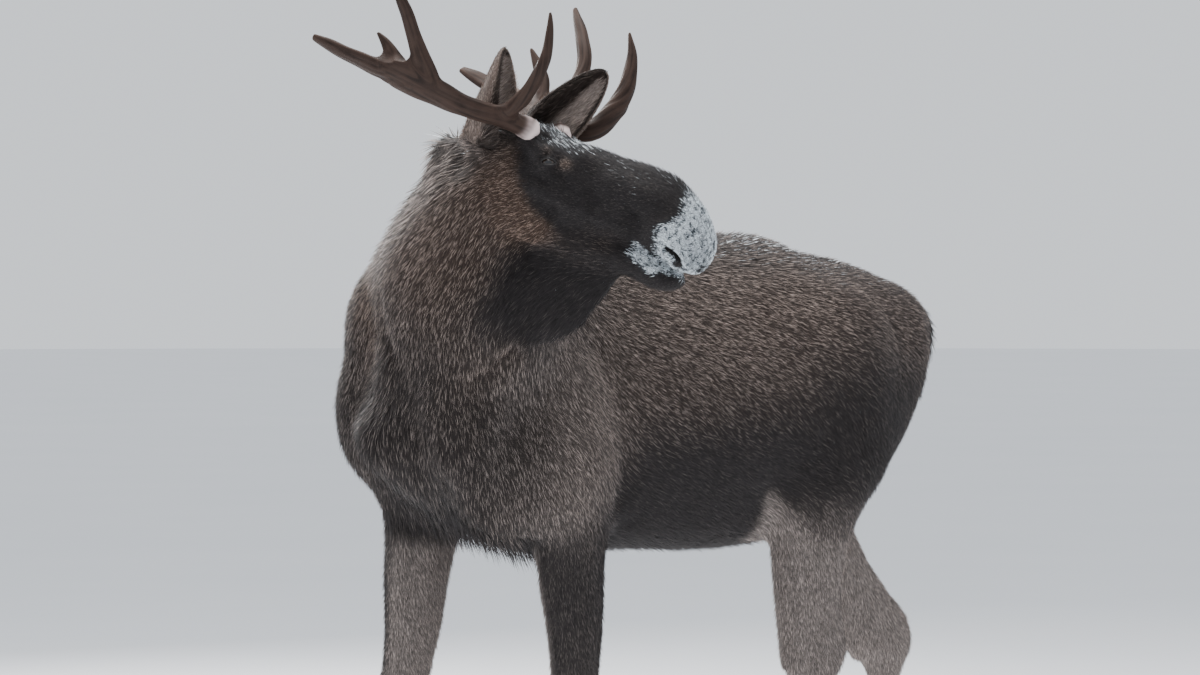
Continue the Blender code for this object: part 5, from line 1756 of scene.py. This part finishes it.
@dataclass(frozen=True)
class Antler:
    """One antler: a beam that flattens into a small palm, with four tines."""

    side: int
    voxel: float = 0.003
    fork: float = 0.011
    palm_way: Triple = (0.62, 0.45, -0.65)
    brow_way: Triple = (0.9, 0.3, 0.0)

    def limbs(self) -> list[tuple[Array, Triple]]:
        """The limbs' rows, with the direction across the thickness of each."""
        brow, top, middle = TINES[self.side]
        flat = self.palm_way
        return [(np.array([(*row, row[-1])[:6] for row in rows]) / 1000, way) for rows, way in (
            (BEAM, flat), (REAR_TINE, flat), (brow, self.brow_way), (top, flat), (middle, flat))]

    def limb(self, rows: Array, flat: Triple) -> Form:
        """One limb as a tube."""
        path = rows[:, :3] * (1, self.side, 1)
        across = unit(np.array((flat[0], self.side * flat[1], flat[2])))
        rings = []
        for i, (_, _, _, half, over, under) in enumerate(rows):
            way = path[min(i + 1, len(path) - 1)] - path[max(i - 1, 0)]
            up = unit(np.cross(way, across))
            if up[2] < 0 or (abs(up[2]) < 0.3 and up[0] < 0):
                up = -up
            rings.append(Ring(on_head(*path[i]), half, over, under, head_way(*up)))
        return loft(rings, around=16, steps=5)

    def grain(self, head: Array) -> tuple[Array, Array]:
        """Coordinates that run along the limbs, and the distance from the burr or towards a tip.

        Args:
            head: Points as head places.

        Returns:
            Rows of length along, and offset across; and rows of share of the limb and its number.
        """
        best = np.full(len(head), 1e9)
        found, share = np.zeros((len(head), 3)), np.zeros((len(head), 2))
        start = 0.0
        for number, (rows, _) in enumerate(self.limbs()):
            path = smooth_rows(rows, 12)
            line = path[:, :3] * (1, self.side, 1)
            way = unit(np.gradient(line, axis=0))
            length = np.concatenate([[0], np.cumsum(np.linalg.norm(np.diff(line, axis=0), axis=1))])
            size = path[:, 3:5].mean(axis=1)
            far = np.linalg.norm(head[:, None] - line[None], axis=2) / size[None]
            index = far.argmin(axis=1)
            near = far.min(axis=1) < best
            off = head - line[index]
            right = unit(np.cross(way[index], (0.2, 0.1, 1.0)))
            top = np.cross(right, way[index])
            ahead = start + length[index] + (off * way[index]).sum(1)
            found[near] = np.stack([ahead, (off * right).sum(1), (off * top).sum(1)], axis=1)[near]
            share[near, 0], share[near, 1] = (length[index] / length[-1])[near], number
            best = np.minimum(best, far.min(axis=1))
            start += length[-1] * 0.3
        return found, share

    def build(self) -> bpy.types.Object:
        """Fuses the limbs, rounds the forks, and works ridges and the burr into the surface."""
        name = f"antler_{SIDE_NAMES[self.side]}_bone"
        knob = ball((0.117, self.side * 0.094, 0.132), (0.031, 0.029, 0.03), (0, 0, 0), HEAD)
        obj = fuse(name, [self.limb(rows, flat) for rows, flat in self.limbs()] + [knob], self.voxel)
        move(obj.data, places(obj.data) + normals(obj.data) * self.fork)
        mesh = reskin(obj, self.voxel).data
        points = even_out(mesh, places(mesh) - normals(mesh) * self.fork, 14)
        move(mesh, points)
        head = in_head(points)
        grain, share = self.grain(head)
        grain = even_out(mesh, grain, 40)
        angle = np.arctan2(grain[:, 2], grain[:, 1])
        burr = bell_curve(grain[:, 0] - 0.016, 0.009) * (share[:, 1] == 0)
        knobs = 0.8 + 0.2 * np.sin(11 * angle + 3 * np.sin(2 * angle))
        ridges = np.sin(7 * angle + 9 * grain[:, 0]) + 0.6 * np.sin(13 * angle - 23 * grain[:, 0] + 1.0)
        fade = 1 - ramp(share[:, 0], 0.55, 0.9)
        lump = np.sin(grain[:, 0] * 70 + 2 * np.sin(angle)) * 0.0006
        swell = even_out(mesh, (0.002 * burr * knobs + 0.0008 * ridges * fade + lump)[:, None], 6)
        move(mesh, points + normals(mesh) * swell)
        worn = np.clip(0.5 + 0.4 * ridges, 0, 1)
        spot = np.linalg.norm(head * (1, self.side, 1) - (0.128, 0.088, 0.128), axis=1)
        pale = np.maximum(0.45 * burr * knobs, ramp(-spot, -0.038, -0.024))
        tip = ramp(share[:, 0], 0.86, 1.0) * (share[:, 1] > 0)
        store(mesh, "grain", grain)
        store(mesh, "wear", even_out(mesh, np.stack([worn, pale, tip], axis=1), 4))
        mesh.shade_smooth()
        return obj

    def nodes(self) -> list[str]:
        """The CAD nodes that this antler stands for."""
        parts = ("beam", "palm", "brow_tine", "top_tine", "middle_tine", "rear_tine")
        return [f"antler_{SIDE_NAMES[self.side]}_{part}" for part in parts]


# ---- eyes and hooves
@dataclass(frozen=True)
class Eye:
    """An eyeball with a raised cornea, and the bare rim of its lids."""

    side: int

    def place(self, local: Array) -> Array:
        """Points given along, up and out of the eye, in the animal's frame."""
        flip = (1, self.side, 1)
        return from_head(np.array(EYE_PLACE) * flip + local @ (np.stack(EYE_AXES) * flip))

    def eyeball(self) -> bpy.types.Object:
        """The eyeball, with gaze coordinates in eye radii."""
        obj = ball((0, 0, 0), (1, 1, 1)).build(f"eye_{SIDE_NAMES[self.side]}_ball")
        smooth = obj.modifiers.new("smooth", "SUBSURF")
        smooth.levels = smooth.render_levels = 2
        settle(obj)
        local = unit(places(obj.data))
        rim = np.hypot(local[:, 0], local[:, 1])
        bulge = 1 + 0.07 * ramp(-rim, -0.62, 0.0) * (local[:, 2] > 0)
        move(obj.data, self.place(local * (EYE_RADIUS - 0.0006) * bulge[:, None]))
        store(obj.data, "gaze", local)
        face_out(obj.data)
        obj.data.shade_smooth()
        return obj

    def rim(self) -> bpy.types.Object:
        """The lids' rim, a bead round the almond opening."""
        turn = np.linspace(0, 2 * math.pi, 72, endpoint=False)
        across = Skin.EYE_HALF * np.cos(turn)
        high = np.sin(turn) * np.where(np.sin(turn) > 0, Skin.LID_UP, Skin.LID_LOW)
        radius = EYE_RADIUS + 0.0012
        out = np.sqrt(np.maximum(radius**2 - across**2 - high**2, 0.00001))
        line = np.stack([across, high, out], axis=1)
        way = unit(np.roll(line, -1, axis=0) - np.roll(line, 1, axis=0))
        outwards = unit(line)
        side = np.cross(way, outwards)
        bead = np.linspace(0, 2 * math.pi, 10, endpoint=False)
        hoops = line[:, None] + 0.0019 * (np.cos(bead)[None, :, None] * outwards[:, None]
                                          + 1.25 * np.sin(bead)[None, :, None] * side[:, None])
        form = Form.tube(hoops, closed=True)
        obj = Form(self.place(form.points), form.faces).build(f"lid_rim_{SIDE_NAMES[self.side]}")
        obj.data.shade_smooth()
        return obj


@dataclass(frozen=True)
class Claw:
    """Half of a cloven hoof, flat on the ground.

    Each row of its outline is a share of the length from the middle, then the reach outwards and inwards.
    """

    length: float = 0.15
    width: float = 0.052
    taper: float = 0.34
    rake: float = 0.032
    growth_ring: float = 0.0005
    gap: float = 0.003
    ahead: float = 0.02
    outline: tuple[Triple, ...] = (
        (-0.5, 0.0, 0.0), (-0.46, 0.55, 0.35), (-0.25, 0.92, 0.42), (0.0, 1.0, 0.42),
        (0.25, 0.8, 0.4), (0.42, 0.45, 0.34), (0.5, 0.1, 0.18))

    def build(self, name: str, foot: Vector, out: int) -> bpy.types.Object:
        """One claw at a foot.

        Args:
            name: Its name.
            foot: Where the foot's middle is.
            out: Side of the foot that it stands on, 1 or -1.

        Returns:
            The claw.
        """
        levels = np.concatenate([[0.0, 0.0015, 0.004], np.linspace(0.01, HOOF_HEIGHT - 0.008, 9),
                                 [HOOF_HEIGHT - 0.004, HOOF_HEIGHT - 0.0015, HOOF_HEIGHT - 0.0003]])
        shares, outer, inner = (np.array(c) for c in zip(*self.outline))
        turn = np.linspace(0, math.pi, 25)
        ahead = -0.5 * np.cos(turn)
        hoops = []
        for level in levels:
            high = level / HOOF_HEIGHT
            shrink = 1.0 - self.taper * high**1.1
            back = self.rake * high
            tuck = 1.0 - 0.06 * ramp(-level, -0.004, 0.0)
            tuck -= 0.1 * ramp(level, HOOF_HEIGHT - 0.006, HOOF_HEIGHT)
            ring = self.growth_ring * math.sin(level * 620)
            hoop = []
            for flank, order in ((1, ahead), (-1, ahead[-2:0:-1])):
                reach = np.interp(order, shares, outer if flank == 1 else inner)
                spread = 0.58 if flank == 1 else 1.0
                for share, wide in zip(order, reach):
                    forward = share * self.length * shrink * tuck - back
                    across = self.width * (0.42 + flank * spread * wide * shrink**0.5 * tuck)
                    across += self.gap + flank * ring
                    hoop.append((foot.x + out * across, foot.y - self.ahead - forward, level))
            hoops.append(hoop)
        obj = Form.tube(np.array(hoops)).build(name)
        obj.data.shade_smooth()
        obj.data.set_sharp_from_angle(angle=math.radians(50))
        return obj

    @staticmethod
    def dewclaw(name: str, foot: Vector, out: int) -> bpy.types.Object:
        """One of the two small claws behind the pastern."""
        obj = loft([
            Ring(Vector((foot.x + out * x, foot.y + y, z)), side, front, rear, (0, 1, 0))
            for x, y, z, side, front, rear in (
                (0.016, 0.034, 0.15, 0.012, 0.012, 0.012), (0.02, 0.048, 0.138, 0.0145, 0.017, 0.017),
                (0.024, 0.064, 0.116, 0.014, 0.015, 0.016), (0.027, 0.074, 0.096, 0.0085, 0.009, 0.01),
                (0.027, 0.077, 0.087, 0.0035, 0.004, 0.005))
        ], around=20, steps=5).build(name)
        obj.data.shade_smooth()
        return obj


# ---- floor, light and camera
@dataclass(frozen=True)
class Studio:
    """A pale floor, soft light and a long lens."""

    distance: float = 13.0
    height: float = 1.81
    turn: float = math.radians(54.0)
    pitch: float = math.radians(1.298)
    aside: float = -0.096
    lens: float = 142.35
    target: float = 1.3

    def build(self) -> None:
        """Sets the stage."""
        right = Vector((math.cos(self.turn), math.sin(self.turn), 0))
        back = Vector((math.sin(self.turn), -math.cos(self.turn), 0))
        data = bpy.data.cameras.new("camera")
        data.lens, data.sensor_width, data.clip_end = self.lens, 36.0, 200.0
        camera = link("camera", data)
        camera.location = SHIFT + self.aside * right + self.distance * back + Vector((0, 0, self.height))
        look = -back * math.cos(self.pitch) - Vector((0, 0, math.sin(self.pitch)))
        camera.rotation_euler = look.to_track_quat("-Z", "Y").to_euler()
        bpy.context.scene.camera = camera
        self.floor()
        self.lights(right, back)

    def floor(self) -> None:
        """A wide pale floor."""
        data = bpy.data.meshes.new("floor")
        with editing(data) as mesh:
            bmesh.ops.create_circle(mesh, cap_ends=True, segments=96, radius=60.0)
        floor = link("floor", data)
        surface = Surface("pale_floor", 0.85)
        cloud = surface.noise(surface.where, 0.7, 3.0)
        surface.set(Base_Color=surface.mix((0.8, 0.82, 0.85), (0.86, 0.87, 0.89), cloud))
        floor.data.materials.append(surface.material)

    def lights(self, right: Vector, back: Vector) -> None:
        """One broad overhead light, a softer one behind and a pale sky all round.

        Args:
            right: To the right of the camera.
            back: From the animal to the camera.
        """
        world = bpy.data.worlds.new("sky")
        world.use_nodes = True
        shade = world.node_tree.nodes["Background"]
        shade.inputs["Color"].default_value = (0.88, 0.92, 0.97, 1.0)
        shade.inputs["Strength"].default_value = 1.08
        bpy.context.scene.world = world
        for name, place, size, power in (
            ("overhead", Vector((0, 0, 6.0)) - right * 1.0 - back * 0.5, 5.0, 520.0),
            ("behind", Vector((0, 0, 4.2)) - back * 5.0 - right * 3.0, 3.5, 600.0),
        ):
            data = bpy.data.lights.new(name, "AREA")
            data.size, data.energy, data.color = size, power, (1.0, 0.98, 0.96)
            light = link(name, data)
            light.location = place
            light.rotation_euler = (Vector((0, 0, self.target)) - place).to_track_quat("-Z", "Y").to_euler()


# ---- the whole animal
TUFTS = {Part.HEAD: 49000, Part.NECK: 49000, Part.FORE: 49000, Part.BARREL: 46000, Part.HIND: 48000,
         Part.FRONT_LEGS: 42000, Part.HIND_LEGS: 46000}
EAR_TUFTS = 16000
# The ear's own colours, with the cup's pale and flecks set near white: painted light shining through the ear
# into its shaded cup.
EAR_COLOURS_AND_GLOW = CoatFinish(ground=(0.1, 0.072, 0.06), dark=(0.046, 0.033, 0.028), warm=(0.19, 0.115, 0.08),
                         pale=(0.98, 0.84, 0.76), fleck=(0.92, 0.82, 0.76))


def main() -> None:
    """Builds the animal piece by piece and sets the stage."""
    logging.basicConfig(level=logging.INFO, format="%(name)s: %(message)s")
    Studio().build()
    markings = Markings()
    skin = Skin(markings).build()
    BodyGrowth(markings).keep(skin.data)
    coat, hair = Coat(), CoatFinish().material("hair", tufted=True)
    under = CoatFinish().material("hide", tufted=False)
    soft = EAR_COLOURS_AND_GLOW.material("ear_hair", tufted=True)
    ear_skin = EAR_COLOURS_AND_GLOW.material("ear_skin", tufted=False)
    grown = {part: coat.grow(skin, part, count, hair) for part, count in TUFTS.items()}
    ears = [ear.build() for ear in EARS]
    pair = link("ear_pair", ears[0].data.copy())
    with editing(pair.data) as joined:
        joined.from_mesh(ears[1].data)
    ear_coat = coat.grow(pair, Part.EARS, EAR_TUFTS, soft)
    bpy.data.objects.remove(pair)
    legs = [f"{leg.name}_{part}" for leg in LEGS
            for part in (("forearm" if leg in FORELEGS else "gaskin"), "shank")]
    hand_over(skin, under, (*Skin.NODES, *legs))
    for part, piece in grown.items():
        hand_over(piece, hair)
    hand_over(ear_coat, soft)
    for ear in ears:
        hand_over(ear, ear_skin, (ear.name.removesuffix("_shell"),))
    antler = AntlerFinish().material("antler_bone")
    eyes = EyeFinish()
    wet, lid = eyes.eyeball("wet_eye"), eyes.lids("lid_skin")
    for side, name in SIDE_NAMES.items():
        hand_over(Antler(side).build(), antler, Antler(side).nodes())
        hand_over(Eye(side).eyeball(), wet, (f"eye_{name}",))
        hand_over(Eye(side).rim(), lid)
    horn = HoofFinish().material("horn")
    for leg in LEGS:
        for label, out in (("outer", leg.side), ("inner", -leg.side)):
            name = f"{leg.name}_claw_{label}"
            hand_over(Claw().build(f"{name}_horn", leg.joint("hoof"), out), horn, (name,))
            name = f"{leg.name}_dewclaw_{label}"
            hand_over(Claw.dewclaw(f"{name}_horn", leg.joint("hoof"), out), horn, (name,))


if __name__ == "__main__":
    main()
